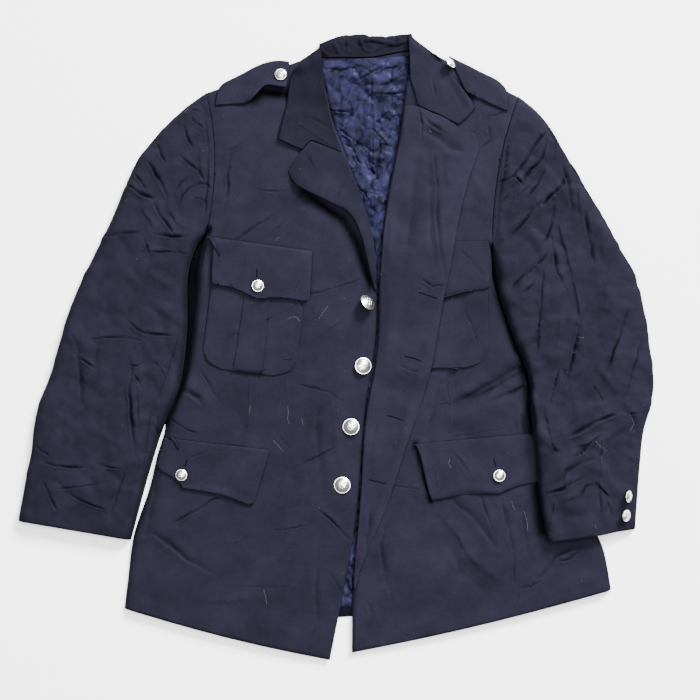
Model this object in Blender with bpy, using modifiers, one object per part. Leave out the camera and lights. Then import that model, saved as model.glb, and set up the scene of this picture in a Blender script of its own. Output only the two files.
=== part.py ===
"""Fire service dress jacket, laid flat and open, fronts up.

Every panel is a sheet of cloth between two edge lines.  The tables hold those
lines in millimetres, one row for each section, +X to the wearer's left and +Y
towards the collar.  A height function says how far the cloth stands above the
surface, and whatever lies on a panel is made from the same function, moved out.
"""
import math
from collections import namedtuple

import bmesh
import bpy
import numpy as np
from mathutils import Vector
from mathutils.bvhtree import BVHTree

PART_NAME = "dress_jacket"
MM = 0.001
CENTRE = (-0.5, -1.0)

# Cloth and gaps, in millimetres
WOOL = 1.6
DOUBLED = 2.2
SATIN = 1.0
SEAM = 0.6
CLEAR = 0.35
REST_GAP = 1.0
STACK = 0.7
STRAP_LIFT = 1.1
STRAP_EDGE = 2.5
HEM_BOW = 4.5
HEM_ROWS = 4.0
GORGE_REACH = 3.0

# Colours, linear
NAVY = (0.010, 0.011, 0.026)
NAVY_LIGHT = (0.014, 0.015, 0.034)
SATIN_BLUE = (0.022, 0.034, 0.090)
NICKEL = (0.62, 0.60, 0.55)

# How the body and the sleeves stand above their lower layer
ROLL_WIDTH = 13.0
CROWN_REACH = 75.0
NECK_RAISE = 2.9
NECK_CLEAR = 1.5
NECK_RAISE_FROM = 318.0
NECK_RAISE_BLEND = 36.0
NECK_LEFT = -84.0
NECK_RIGHT = 156.0
NECK_SIDE_BLEND = 42.0
SLEEVE_BLEND = 0.22
DRAPE_REACH = 30.0
DRAPE_TOP = -38.0
DRAPE_FULL = -88.0
DRAPE_CLEAR = 4.6
SLEEVE_FOLDS_FROM = 0.1
SLEEVE_SEAM_REACH = 0.16
CUFF_FLAT_FROM = 0.6
CUFF_FLAT_BY = 0.3
CUFF_FLATTENING = 0.3
CUFF_BUTTONS_AT = 0.96

Section = namedtuple("Section", "left_x left_y right_x right_y")
Armhole = namedtuple("Armhole", "top_x top_y foot_x foot_y bow")
Height = namedtuple("Height", "y middle edge")
Fold = namedtuple("Fold", "x y angle length width rise")
Point = namedtuple("Point", "x y")
Button = namedtuple("Button", "x y diameter lean_x lean_y")

ARMHOLE_RIGHT = Armhole(-176, 344, -175, 155, 12.0)
ARMHOLE_LEFT = Armhole(246, 339, 210, 130, -10.0)

# Wearer's right front: left is the side seam below the armhole, right the front edge
FRONT_RIGHT_EDGE = (
    Point(-36, 392), Point(-16, 352), Point(-6, 308), Point(14, 256), Point(35, 199))
FRONT_RIGHT = (
    Section(-175, 155, 35, 199),
    Section(-187, 117, 50, 140),
    Section(-191, 63, 55, 69),
    Section(-199, -5, 53, 8),
    Section(-209, -56, 43, -58),
    Section(-223, -90, 37, -106),
    Section(-238, -131, 33, -162),
    Section(-258, -209, 27, -230),
    Section(-275, -257, 19, -280),
    Section(-282, -311, 9, -335),
    Section(-288, -356, -9, -426),
)

# Wearer's left front: left is the fold of the turned-back edge, right the side seam
FRONT_LEFT_EDGE = (
    Point(120, 403), Point(98, 366), Point(91, 318), Point(81, 262), Point(70, 205), Point(63, 152))
FRONT_LEFT = (
    Section(63, 152, 210, 130),
    Section(60, 100, 211, 98),
    Section(59, 69, 219, 66),
    Section(57, 15, 239, 8),
    Section(52, -33, 257, -42),
    Section(42, -87, 261, -82),
    Section(37, -141, 290, -137),
    Section(34, -196, 324, -200),
    Section(27, -277, 358, -264),
    Section(22, -345, 368, -298),
    Section(21, -416, 373, -331),
)

# Right sleeve: left is the back-arm fold, right the fore-arm fold beside the body
SLEEVE_RIGHT = (
    Section(-220, 310, -179, 148),
    Section(-269, 253, -188, 135),
    Section(-305, 173, -201, 97),
    Section(-353, 73, -202, 29),
    Section(-371, 22, -206, -19),
    Section(-387, -35, -213, -56),
    Section(-407, -87, -227, -90),
    Section(-413, -135, -242, -131),
    Section(-424, -190, -259.5, -190),
    Section(-432, -237, -279, -263),
)

# Left sleeve: left is the fore-arm fold, which lies on the skirt, right the back-arm fold
SLEEVE_LEFT = (
    Section(213, 103, 284, 305),
    Section(220, 73, 322, 240),
    Section(227, 48, 350, 196),
    Section(236, 22, 376, 146),
    Section(249, -10, 400, 108),
    Section(261, -44, 416, 56),
    Section(263, -84, 426, -4),
    Section(267, -128, 431, -58),
    Section(271, -169, 418, -112),
    Section(275, -207, 412, -165),
    Section(285, -265, 406, -248),
)

# Side of the back beside the right sleeve, where it shows as the floor of the gap
BACK_RIGHT_SIDE = (
    Point(-175, 155), Point(-184, 135), Point(-197, 100), Point(-200, 63), Point(-200, 29),
    Point(-203, -19), Point(-210, -56), Point(-223.5, -90), Point(-239, -131), Point(-258.5, -209),
    Point(-275.5, -257), Point(-282.5, -311), Point(-288, -356))
BACK_LEFT_SIDE = (
    Point(210, 130), Point(210.6, 103), Point(218.6, 71),
    Point(226, 48), Point(235, 21), Point(247, -10),
    Point(258.5, -42), Point(262, -82), Point(290, -137),
    Point(324, -200), Point(358, -264), Point(368, -298),
    Point(373, -329))
BACK_NECK = (
    Point(-36, 390), Point(-14, 391), Point(12, 391.5),
    Point(48, 391.5), Point(80, 397), Point(112, 400))
BACK_HEM = (Point(-288, -356), Point(-130, -371), Point(12, -368), Point(180, -352), Point(373, -329))

# Lining where the neck and the front gap show it: its hidden margins lie under the fronts
LINING = (
    Section(-30, 386, 112, 394),
    Section(-36, 345, 116, 352),
    Section(-26, 300, 110, 304),
    Section(-6, 245, 98, 247),
    Section(16, 195, 89, 196),
    Section(30, 140, 82, 140),
    Section(36, 75, 78, 75),
    Section(36, 5, 76, 5),
    Section(24, -80, 62, -80),
    Section(14, -160, 56, -160),
    Section(6, -240, 50, -240),
    Section(-4, -300, 44, -300),
    Section(-14, -354, 42, -354),
)

# Broad waves of the lining: how often they come along x and y, where they start, and how high they are
Wave = namedtuple("Wave", "along_x along_y start rise")
LINING_WAVES = (Wave(0.11, 0.075, 0.0, 1.5), Wave(0.05, -0.13, 1.0, 1.1))
LINING_LIFT = 1.6
LINING_MARGIN = 14.0

# Collar leaves: the crease of each on the neck side, its outer edge on the other
COLLAR_RIGHT = (
    Section(-50, 385, -21, 406),
    Section(-61, 362, -18.5, 376),
    Section(-67, 326, -14, 336),
    Section(-74, 297, -6, 301),
    Section(-78, 278, 5, 266.5),
)
COLLAR_LEFT = (
    Section(97.5, 423, 127, 399),
    Section(99, 390, 147, 379),
    Section(100, 363, 161, 356),
    Section(106, 343, 178, 334),
    Section(110, 326, 187, 320),
)

# Gorge seams: a collar leaf's lower edge with its notch, and the lapel's upper edge below it
GORGE_COLLAR_RIGHT = (
    Point(-78, 279), Point(-62.5, 271.5), Point(-47, 264.5),
    Point(-35, 278), Point(-21, 273.5), Point(-7.5, 268),
    Point(6, 263))
GORGE_LAPEL_RIGHT = (
    Point(-46, 263.5), Point(-41, 270), Point(-34.5, 276.5),
    Point(-24, 273), Point(-13, 269), Point(-3.5, 265.3),
    Point(6.5, 261.5))
GORGE_COLLAR_LEFT = (
    Point(110, 326.5), Point(123, 319.5), Point(136.5, 313.5), Point(150, 306.5), Point(164.5, 298.5),
    Point(176, 308.5), Point(186, 319.5))
GORGE_FACING_LEFT = (
    Point(92, 325), Point(104, 325.5), Point(115, 322),
    Point(127, 316.5), Point(139.5, 311), Point(151.5, 304.5),
    Point(164, 296.8))
GORGE_STEPS_RIGHT = (0.0, 0.17, 0.35, 0.5, 0.68, 0.84, 1.0)
GORGE_STEPS_LEFT = (0.0, 0.17, 0.34, 0.51, 0.7, 0.86, 1.0)

# Where the leaves' tops are folded down onto the shoulder seams
COLLAR_FOLD_RIGHT = np.array([(-50, 385), (-21, 406)], float)
COLLAR_FOLD_LEFT = np.array([(97.5, 423), (127, 399)], float)
COLLAR_FOLD_WIDTH = 9.0

# Back of the collar: neck seam and crease, from the wearer's right to left
COLLAR_SEAM = (Point(-16.5, 392), Point(12, 392.4), Point(48, 392.6), Point(78, 398), Point(96, 401.5))
COLLAR_CREASE = (Point(-16.5, 410), Point(-2, 419), Point(28, 424), Point(66, 421), Point(96, 424))
COLLAR_FALL_END = 362.0
COLLAR_TOP = 8.6
COLLAR_FOOT = 5.4
COLLAR_FOOT_DEPTH = 5.0
COLLAR_FOOT_RISE = 1.2
COLLAR_HIGHEST = 2.0
COLLAR_TURN = 5.0
COLLAR_ROUND = 1.4
COLLAR_ROUND_DROP = 1.6

# Turned lapel on the right front and turned-back edge on the left front
LAPEL_RIGHT = (
    Section(-46, 264.5, 7, 262.5),
    Section(-65, 233, 15, 249),
    Section(-50, 214, 24, 228),
    Section(-20, 198, 33, 204),
    Section(6, 187, 40, 184),
    Section(22, 172, 45, 165),
    Section(34, 143, 50, 137),
    Section(43, 108, 53, 104),
    Section(52, 77, 54.6, 76),
)
FACING_LEFT = (
    Section(91.5, 322, 165, 297.5),
    Section(89, 301, 194, 280),
    Section(82.5, 262, 185, 246),
    Section(74, 218, 173, 204),
    Section(65.5, 165, 163, 161),
    Section(60, 100, 152, 100),
    Section(58.5, 69, 145, 67),
    Section(57, 15, 137, 20),
    Section(51.5, -33, 127, -33),
    Section(41.5, -87, 112, -85),
    Section(36.5, -141, 93, -141),
    Section(33.5, -196, 76, -196),
    Section(30, -240, 58, -243),
    Section(26, -288, 38, -288),
    Section(23.4, -329, 26, -329),
)

# Height of the shells above the layer they lie on
HEIGHTS = (
    Height(400, 11, 7.5),
    Height(310, 17, 8.5),
    Height(200, 20, 8),
    Height(70, 19, 6),
    Height(-80, 15, 5),
    Height(-220, 11, 4.6),
    Height(-340, 7.5, 4.4),
    Height(-440, 6, 4.2),
)
SLEEVE_HEIGHTS = ((0.0, 19.0), (0.3, 20.0), (0.65, 17.0), (1.0, 12.5))

# The largest folds; a negative rise is a trough
BODY_FOLDS = (
    Fold(-70, 214, 2, 80, 15, 2.2),
    Fold(-19, -63, -18, 80, 14, 1.8),
    Fold(-4, -242, -43, 80, 12, 2.0),
    Fold(-185, -226, 28, 80, 14, 2.4),
    Fold(-196, -290, -39, 100, 18, 2.0),
    Fold(-60, -330, 70, 130, 24, 1.6),
    Fold(208, -52, 22, 110, 13, -3.0),
    Fold(206, -74, 22, 100, 14, 2.0),
    Fold(212, -240, -73, 120, 18, 2.2),
    Fold(300, -292, 42, 80, 14, 2.0),
    Fold(120, -320, -64, 120, 22, 1.6),
)
SLEEVE_RIGHT_FOLDS = (
    Fold(-262, 212, -24, 60, 12, 3.0),
    Fold(-257, 148, 2, 110, 14, 2.2),
    Fold(-225, 240, 48, 60, 12, 2.4),
    Fold(-271, 8, 3, 130, 15, 2.4),
    Fold(-281, -80, -88, 150, 14, 3.0),
    Fold(-338, -205, -23, 90, 14, 2.2),
    Fold(-370, -160, 30, 60, 13, 1.6),
)
SLEEVE_LEFT_FOLDS = (
    Fold(262, 252, 48, 110, 11, 4.0),
    Fold(282, 214, 50, 100, 11, 3.6),
    Fold(262, 176, 46, 110, 12, 3.2),
    Fold(290, 60, -80, 130, 14, 3.0),
    Fold(376, 5, -68, 100, 14, 2.6),
    Fold(341, -104, 18, 100, 13, 2.8),
    Fold(322, -160, 42, 100, 13, 2.8),
)

# Pockets: the corner at the upper left, the tilt, and the cut size
Pocket = namedtuple("Pocket", "x y tilt skew width depth")
POCKET_RIGHT = Pocket(-162, 136, -7.4, 0.0, 128, 165)
POCKET_LEFT = Pocket(78, 127, 1.4, 0.0, 125, 158)
POCKET_CORNER = 30.0
COVER_SIDE = 6.0
COVER_ABOVE = 24.0
COVER_BELOW = 4.0
COVER_REACH = 22.0
COVER_STACKS = 2.2
PLEAT_WIDTH = 34.0
PLEAT_RISE = 1.3
PLEAT_FOLD = 1.2
POCKET_LINES = (-1.0, -0.72, -0.44, None, None, 0.0, None, None, 0.44, 0.72, 1.0)
POCKET_DEPTHS = (0, 22, 60, 98, 128, 140, 150, 158)

# Flaps: the upper left corner, the cut, how deep each side and the point are, and the point's place
Flap = namedtuple("Flap", "x y tilt skew width left_depth tip_depth right_depth tip_at")
BREAST_FLAP_RIGHT = Flap(-165, 146, -7.8, 0.08, 134, 63, 74, 70, 0.47)
BREAST_FLAP_LEFT = Flap(75, 138, 1.6, 0.0, 129, 68, 74, 66, 0.5)
WAIST_FLAP_RIGHT = Flap(-231, -124, -6.6, -0.18, 142, 42, 63, 77, 0.3)
WAIST_FLAP_LEFT = Flap(109.5, -132, 5.2, 0.15, 157, 78, 76, 66, 0.59)
FLAP_HOLLOW = 4.0
FLAP_CORNER = 7.0
FLAP_SIDE_STEPS = (0.0, 0.05, 0.2, 0.45, 0.72, 0.9)
FLAP_DOWN_STEPS = (0.0, 0.12, 0.4, 0.7, 0.92, 1.0)

# Shoulder straps, from the sleeve seam to the collar end: lower edge and shoulder edge
STRAP_RIGHT = (
    Section(-163, 325, -160, 346),
    Section(-146, 326, -150.5, 355),
    Section(-121, 327.5, -126.5, 368),
    Section(-108, 339, -110, 377),
    Section(-95, 351.5, -94, 383),
    Section(-80, 349.5, -78, 386),
    Section(-67, 349, -63, 384),
)
STRAP_LEFT = (
    Section(175, 344, 152, 392),
    Section(185, 338, 170, 383),
    Section(198, 331, 193, 371),
    Section(220, 321, 218, 358),
    Section(231, 317, 232, 341),
)

# Buttons, with how far each leans
FRONT_BUTTONS = (
    Button(41, 58, 23, -30, 46), Button(36, -27, 23, -6, 12),
    Button(20, -109, 23, 4, -6), Button(8, -188, 23, 5, -4))
FLAP_BUTTONS = (
    ("button_breast_pocket_right", Button(-105.5, 81, 16, 3, 4), "flap_breast_right"),
    ("button_waist_pocket_right", Button(-209, -174, 16, 2, -6), "flap_waist_right"),
    ("button_waist_pocket_left", Button(220, -175, 16, -4, 2), "flap_waist_left"),
)
STRAP_BUTTONS = (
    ("button_strap_right", Button(-75, 366.5, 16, -10, -2), "strap_right"),
    ("button_strap_left", Button(153, 381, 16, -31, 50), "strap_left"),
)
CUFF_BUTTONS = (Button(394, -203, 16, 4, 52), Button(391, -229, 16, 4, 42))
BUTTON_DOME = 0.2
BUTTON_DOME_RADIUS = 0.93
BUTTON_RIM = 1.6
BUTTON_ROWS = 5
Ring = namedtuple("Ring", "radius height")
BUTTON_EDGE = (Ring(1.0, 1.2), Ring(0.94, 0.3), Ring(0.5, 0.0), Ring(0.0, 0.0))
BUTTON_SEAT_PLACES = 24

# Where grid lines stand across a rolled sheet, closest at its rolled edges
ARM_STEPS = (0.0, 0.014, 0.05, 0.12, 0.24, 0.38, 0.5, 0.62, 0.76, 0.88, 0.95, 0.986, 1.0)
STRAP_STEPS = (0.0, 0.3, 0.58, 0.76, 0.88, 0.96, 1.0)
SIDE_STEPS = (0.0, 0.01, 0.035, 0.08, 0.17, 0.29, 0.42, 0.56, 0.7, 0.85, 1.0)


def ease(value):
    """Smooth step from 0 to 1."""
    t = min(max(value, 0.0), 1.0)
    return t * t * (3.0 - 2.0 * t)


def roll(distance, width=ROLL_WIDTH):
    """Quarter ellipse: how much of its height cloth has at a distance from its fold."""
    t = min(distance / width, 1.0)
    return math.sqrt(max(0.0, 1.0 - (1.0 - t) ** 2))


def curve(points, steps):
    """Points at fractions of the length of a smooth curve through the given points."""
    knots = np.array([(p[0], p[1]) for p in points], float)
    ends = np.vstack([2 * knots[0] - knots[1], knots, 2 * knots[-1] - knots[-2]])
    fine = []
    for a, b, c, d in zip(ends, ends[1:], ends[2:], ends[3:]):
        for t in np.linspace(0.0, 1.0, 10, endpoint=False):
            cubic = -a + 3 * b - 3 * c + d
            square = 2 * a - 5 * b + 4 * c - d
            fine.append(0.5 * (2 * b + (c - a) * t + square * t * t + cubic * t ** 3))
    fine.append(knots[-1])
    fine = np.array(fine)
    travelled = np.concatenate([[0.0], np.cumsum(np.hypot(*np.diff(fine, axis=0).T))])
    wanted = np.array(steps) * travelled[-1]
    return np.column_stack([np.interp(wanted, travelled, fine[:, i]) for i in (0, 1)])


def even(count):
    """Fractions at even spacing."""
    return np.linspace(0.0, 1.0, count + 1)


def left_line(table, steps):
    return curve([(row.left_x, row.left_y) for row in table], steps)


def right_line(table, steps):
    return curve([(row.right_x, row.right_y) for row in table], steps)


def armhole_line(hole, steps, out=0.0):
    """Points down an armhole seam, which bows towards the body."""
    points = []
    for t in steps:
        x = hole.top_x + (hole.foot_x - hole.top_x) * t + hole.bow * 4 * t * (1 - t) + out
        y = hole.top_y + (hole.foot_y - hole.top_y) * t
        points.append((x, y))
    return np.array(points)


def ruled(left, right, across):
    """Grid of points on straight lines between two edge lines."""
    return [[a + (b - a) * u for u in across] for a, b in zip(left, right)]


def coons(top, bottom, left, right, across, down):
    """Grid of points that fills four boundary lines."""
    grid = []
    for j, v in enumerate(down):
        row = []
        for i, u in enumerate(across):
            sides = (1 - u) * left[j] + u * right[j]
            ends = (1 - v) * top[i] + v * bottom[i]
            upper = (1 - u) * top[0] + u * top[-1]
            lower = (1 - u) * bottom[0] + u * bottom[-1]
            row.append(sides + ends - (1 - v) * upper - v * lower)
        grid.append(row)
    return grid


def distance(lines, x, y):
    """Shortest way from a point to the nearest of some lines."""
    best = 1e9
    for line in lines:
        start = line[:-1]
        span = line[1:] - start
        offset = np.array([x, y]) - start
        t = np.clip((offset * span).sum(axis=1) / (span * span).sum(axis=1), 0.0, 1.0)
        nearest = offset - span * t[:, None]
        best = min(best, np.hypot(nearest[:, 0], nearest[:, 1]).min())
    return best


def fold_height(folds, x, y):
    """Sum of the soft ridges and troughs at a point."""
    total = 0.0
    for fold in folds:
        angle = math.radians(fold.angle)
        along = (x - fold.x) * math.cos(angle) + (y - fold.y) * math.sin(angle)
        across = (y - fold.y) * math.cos(angle) - (x - fold.x) * math.sin(angle)
        total += fold.rise * math.exp(-(across / fold.width) ** 2 - (2.0 * along / fold.length) ** 4)
    return total


FINE = even(60)
SHOULDER_RIGHT = np.array([(ARMHOLE_RIGHT.top_x, ARMHOLE_RIGHT.top_y), tuple(FRONT_RIGHT_EDGE[0])], float)
SHOULDER_LEFT = np.array([tuple(FRONT_LEFT_EDGE[0]), (ARMHOLE_LEFT.top_x, ARMHOLE_LEFT.top_y)], float)


def sleeve_right_lines(steps):
    outer = [(ARMHOLE_RIGHT.top_x, ARMHOLE_RIGHT.top_y)] + [(s.left_x, s.left_y) for s in SLEEVE_RIGHT]
    inner = [(ARMHOLE_RIGHT.foot_x, ARMHOLE_RIGHT.foot_y)] + [(s.right_x, s.right_y) for s in SLEEVE_RIGHT]
    return curve(outer, steps), curve(inner, steps)


def sleeve_left_lines(steps):
    inner = [(ARMHOLE_LEFT.foot_x, ARMHOLE_LEFT.foot_y)] + [(s.left_x, s.left_y) for s in SLEEVE_LEFT]
    outer = [(ARMHOLE_LEFT.top_x, ARMHOLE_LEFT.top_y)] + [(s.right_x, s.right_y) for s in SLEEVE_LEFT]
    return curve(inner, steps), curve(outer, steps)


OUTER_RIGHT, INNER_RIGHT = sleeve_right_lines(FINE)
INNER_LEFT, OUTER_LEFT = sleeve_left_lines(FINE)
SIDE_RIGHT = left_line(FRONT_RIGHT, FINE)
SIDE_LEFT = right_line(FRONT_LEFT, FINE)
EDGE_RIGHT = np.vstack([curve(FRONT_RIGHT_EDGE, FINE), right_line(FRONT_RIGHT, FINE)[1:]])
EDGE_LEFT = np.vstack([curve(FRONT_LEFT_EDGE, FINE), left_line(FRONT_LEFT, FINE)[1:]])
FOLDED_RIGHT = (SHOULDER_RIGHT, OUTER_RIGHT, INNER_RIGHT, SIDE_RIGHT)
FOLDED_FRONT_LEFT = (SHOULDER_LEFT, OUTER_LEFT, SIDE_LEFT)
FOLDED_SLEEVE_LEFT = (SHOULDER_LEFT, OUTER_LEFT, INNER_LEFT)


def table_height(y, column):
    """Height from the table at a distance along the body."""
    rows = sorted(HEIGHTS, key=lambda row: row.y)
    return float(np.interp(y, [row.y for row in rows], [getattr(row, column) for row in rows]))


def neck_raise(x, y):
    """Lift of the back where the collar's fall lies under it."""
    inside = ease((x - NECK_LEFT) / NECK_SIDE_BLEND) * ease((NECK_RIGHT - x) / NECK_SIDE_BLEND)
    return NECK_RAISE * ease((y - NECK_RAISE_FROM) / NECK_RAISE_BLEND) * inside


def back_top(x, y):
    return WOOL + neck_raise(x, y)


def front_rest(x, y):
    """Level that the fronts and the collar leaves stand on."""
    return WOOL + REST_GAP + NECK_CLEAR * neck_raise(x, y)


def crown(edge, x, y):
    """Height of a front above the back, low at its free edge and full in its middle."""
    low = table_height(y, "edge")
    high = table_height(y, "middle")
    return low + (high - low) * ease(distance([edge], x, y) / CROWN_REACH)


def front_right_top(x, y):
    height = crown(EDGE_RIGHT, x, y) + fold_height(BODY_FOLDS, x, y)
    return front_rest(x, y) + height * roll(distance(FOLDED_RIGHT, x, y))


def front_left_top(x, y):
    height = crown(EDGE_LEFT, x, y) + fold_height(BODY_FOLDS, x, y)
    return front_rest(x, y) + height * roll(distance(FOLDED_FRONT_LEFT, x, y))


def sleeve_crown(along, y):
    """Height of a sleeve, taken over from the body's at the armhole."""
    own = float(np.interp(along, *zip(*SLEEVE_HEIGHTS)))
    return table_height(y, "middle") + (own - table_height(y, "middle")) * ease(along / SLEEVE_BLEND)


def sleeve_right_top(x, y, along):
    height = sleeve_crown(along, y) + fold_height(SLEEVE_RIGHT_FOLDS, x, y) * ease(along / SLEEVE_FOLDS_FROM)
    return WOOL + REST_GAP + height * roll(distance(FOLDED_RIGHT, x, y))


def side_left_inside(x, y):
    """Distance inside the left side seam, negative outside it."""
    seam_x = np.interp(y, SIDE_LEFT[::-1, 1], SIDE_LEFT[::-1, 0])
    gap = distance([SIDE_LEFT], x, y)
    return gap if x < seam_x else -gap


def sleeve_left_rest(x, y):
    """Underside of the left sleeve: up over the skirt, down on the surface beyond it."""
    over = ease((DRAPE_TOP - y) / (DRAPE_TOP - DRAPE_FULL))
    inside = ease((side_left_inside(x, y) + DRAPE_REACH) / (DRAPE_REACH + 1.0))
    skirt = WOOL + REST_GAP + crown(EDGE_LEFT, x, y) + fold_height(BODY_FOLDS, x, y) + DRAPE_CLEAR
    return over * inside * skirt


def sleeve_left_under(x, y):
    return sleeve_left_rest(x, y) + WOOL


def sleeve_left_top(x, y, along):
    height = sleeve_crown(along, y) + fold_height(SLEEVE_LEFT_FOLDS, x, y) * ease(along / SLEEVE_FOLDS_FROM)
    height *= 1.0 - CUFF_FLATTENING * ease((along - CUFF_FLAT_FROM) / CUFF_FLAT_BY)
    return sleeve_left_under(x, y) + REST_GAP + height * roll(distance(FOLDED_SLEEVE_LEFT, x, y))


def lift_off(surface, x, y, rise):
    """Point on a height function, moved out along its normal."""
    step = 1.0
    slope_x = (surface(x + step, y) - surface(x - step, y)) / (2 * step)
    slope_y = (surface(x, y + step) - surface(x, y - step)) / (2 * step)
    normal = Vector((-slope_x, -slope_y, 1.0)).normalized()
    return Vector((x, y, surface(x, y))) + normal * rise


def placed(point):
    """Millimetres from the drawing's centre, in metres from the middle of the jacket."""
    return Vector((point[0] - CENTRE[0], point[1] - CENTRE[1], point[2])) * MM


def trees_of(names):
    """Search trees of finished pieces, with their walls."""
    deps = bpy.context.evaluated_depsgraph_get()
    return [BVHTree.FromObject(bpy.data.objects[name], deps) for name in names]


def top_below(trees, x, y):
    """Highest point of the pieces below at a place, or None beside them."""
    best = None
    for tree in trees:
        hit = tree.ray_cast(placed((x, y, 1000.0)), Vector((0.0, 0.0, -1.0)))[0]
        if hit is not None and (best is None or hit.z > best):
            best = hit.z
    return None if best is None else best / MM


def settle(grid, names, wall):
    """Lift the points of a laid sheet where it would cut the pieces below it."""
    trees = trees_of(names)
    grid = [[Vector(point) for point in row] for row in grid]
    shares = (0.0, 0.17, 0.33, 0.5, 0.67, 0.83, 1.0)
    for _ in range(4):
        lack = {}
        for j in range(len(grid) - 1):
            for i in range(len(grid[j]) - 1):
                corners = ((j, i), (j, i + 1), (j + 1, i), (j + 1, i + 1))
                a, b, c, d = (grid[row][column] for row, column in corners)
                tilt = max(0.5, abs((b - a).cross(c - a).normalized().z))
                for u in shares:
                    for v in shares:
                        point = (a * (1 - u) + b * u) * (1 - v) + (c * (1 - u) + d * u) * v
                        below = top_below(trees, point.x, point.y)
                        if below is None:
                            continue
                        short = below + CLEAR - (point.z - wall / tilt)
                        if short > 0.0:
                            for corner in corners:
                                lack[corner] = max(lack.get(corner, 0.0), short)
        if not lack:
            break
        for (row, column), lift in lack.items():
            grid[row][column].z += lift
    return grid


def new_collection(name):
    collection = bpy.data.collections.new(name)
    bpy.context.scene.collection.children.link(collection)
    return collection


def cloth_material(name, colour, roughness, metallic=0.0):
    material = bpy.data.materials.new(name)
    material.use_nodes = True
    shader = material.node_tree.nodes["Principled BSDF"]
    shader.inputs["Base Color"].default_value = (*colour, 1.0)
    shader.inputs["Roughness"].default_value = roughness
    shader.inputs["Metallic"].default_value = metallic
    return material


def sheet(name, grid, wall, colour, roughness=0.9):
    """Cloth between rows of points on its outer face; the wall goes inwards."""
    mesh = bpy.data.meshes.new(name)
    work = bmesh.new()
    rows = [[work.verts.new(placed(point)) for point in row] for row in grid]
    for upper, lower in zip(rows, rows[1:]):
        for i in range(len(upper) - 1):
            work.faces.new((upper[i], lower[i], lower[i + 1], upper[i + 1]))
    work.to_mesh(mesh)
    work.free()
    mesh.shade_smooth()
    piece = bpy.data.objects.new(name, mesh)
    jacket.objects.link(piece)
    mesh.materials.append(cloth_material(name, colour, roughness))
    solidify = piece.modifiers.new("wall", "SOLIDIFY")
    solidify.thickness = wall * MM
    solidify.offset = -1.0
    solidify.use_even_offset = True
    solidify.use_quality_normals = True
    return piece


def raised(grid, surface):
    """Rows of points with their height from a function of x and y."""
    return [[(x, y, surface(x, y)) for x, y in row] for row in grid]


def laid(grid, surface, rise):
    """Rows of points lifted off the panel they lie on."""
    return [[lift_off(surface, x, y, rise) for x, y in row] for row in grid]


def make_back():
    across = even(12)
    down = np.concatenate([even(6) * 0.25, 0.25 + even(10)[1:] * 0.75])
    left = np.vstack([armhole_line(ARMHOLE_RIGHT, even(6)), curve(BACK_RIGHT_SIDE, even(10))[1:]])
    right = np.vstack([armhole_line(ARMHOLE_LEFT, even(6)), curve(BACK_LEFT_SIDE, even(10))[1:]])
    shoulder_right = [Point(*SHOULDER_RIGHT[0]), *BACK_NECK]
    top = curve([*shoulder_right, Point(*SHOULDER_LEFT[1])], across)
    grid = coons(top, curve(BACK_HEM, across), left, right, across, down)
    return sheet("back", raised(grid, back_top), WOOL, NAVY)


def make_lining():
    across = even(8)
    down = even(24)
    grid = ruled(left_line(LINING, down), right_line(LINING, down), across)

    def crumple(x, y):
        margin = distance([EDGE_RIGHT, EDGE_LEFT], x, y)
        shown = ease(margin / LINING_MARGIN) if edge_x(EDGE_RIGHT, y) < x < edge_x(EDGE_LEFT, y) else 0.0
        height = LINING_LIFT
        for wave in LINING_WAVES:
            height += wave.rise * math.sin(wave.along_x * x + wave.along_y * y + wave.start)
        return back_top(x, y) + REST_GAP + SATIN + shown * max(height, 0.0)

    return sheet("lining", raised(grid, crumple), SATIN, SATIN_BLUE, 0.35)


def edge_x(line, y):
    """Where a front's free edge is at a distance along the body."""
    return np.interp(y, line[::-1, 1], line[::-1, 0])


def bow_hem(grid):
    """Let the hem of a front hang in a shallow bow between its corners."""
    bowed = []
    for i, row in enumerate(reversed(grid)):
        share = max(0.0, 1.0 - i / HEM_ROWS)
        start, width = row[0][0], row[-1][0] - row[0][0]
        bowed.append([(x, y - HEM_BOW * share * math.sin(math.pi * (x - start) / width)) for x, y in row])
    return bowed[::-1]


def make_fronts():
    hole = np.array(ARM_STEPS)
    below = even(16)
    side = np.vstack([armhole_line(ARMHOLE_RIGHT, hole), left_line(FRONT_RIGHT, below)[1:]])
    edge = np.vstack([curve(FRONT_RIGHT_EDGE, hole), right_line(FRONT_RIGHT, below)[1:]])
    grid = ruled(side, edge, SIDE_STEPS)
    sheet("front_right", raised(bow_hem(grid), front_right_top), WOOL, NAVY)

    side = np.vstack([armhole_line(ARMHOLE_LEFT, hole), right_line(FRONT_LEFT, below)[1:]])
    edge = np.vstack([curve(FRONT_LEFT_EDGE, hole), left_line(FRONT_LEFT, below)[1:]])
    across = 1.0 - np.array(SIDE_STEPS)[::-1]
    grid = ruled(edge, side, across)
    sheet("front_left", raised(bow_hem(grid), front_left_top), WOOL, NAVY)


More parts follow.
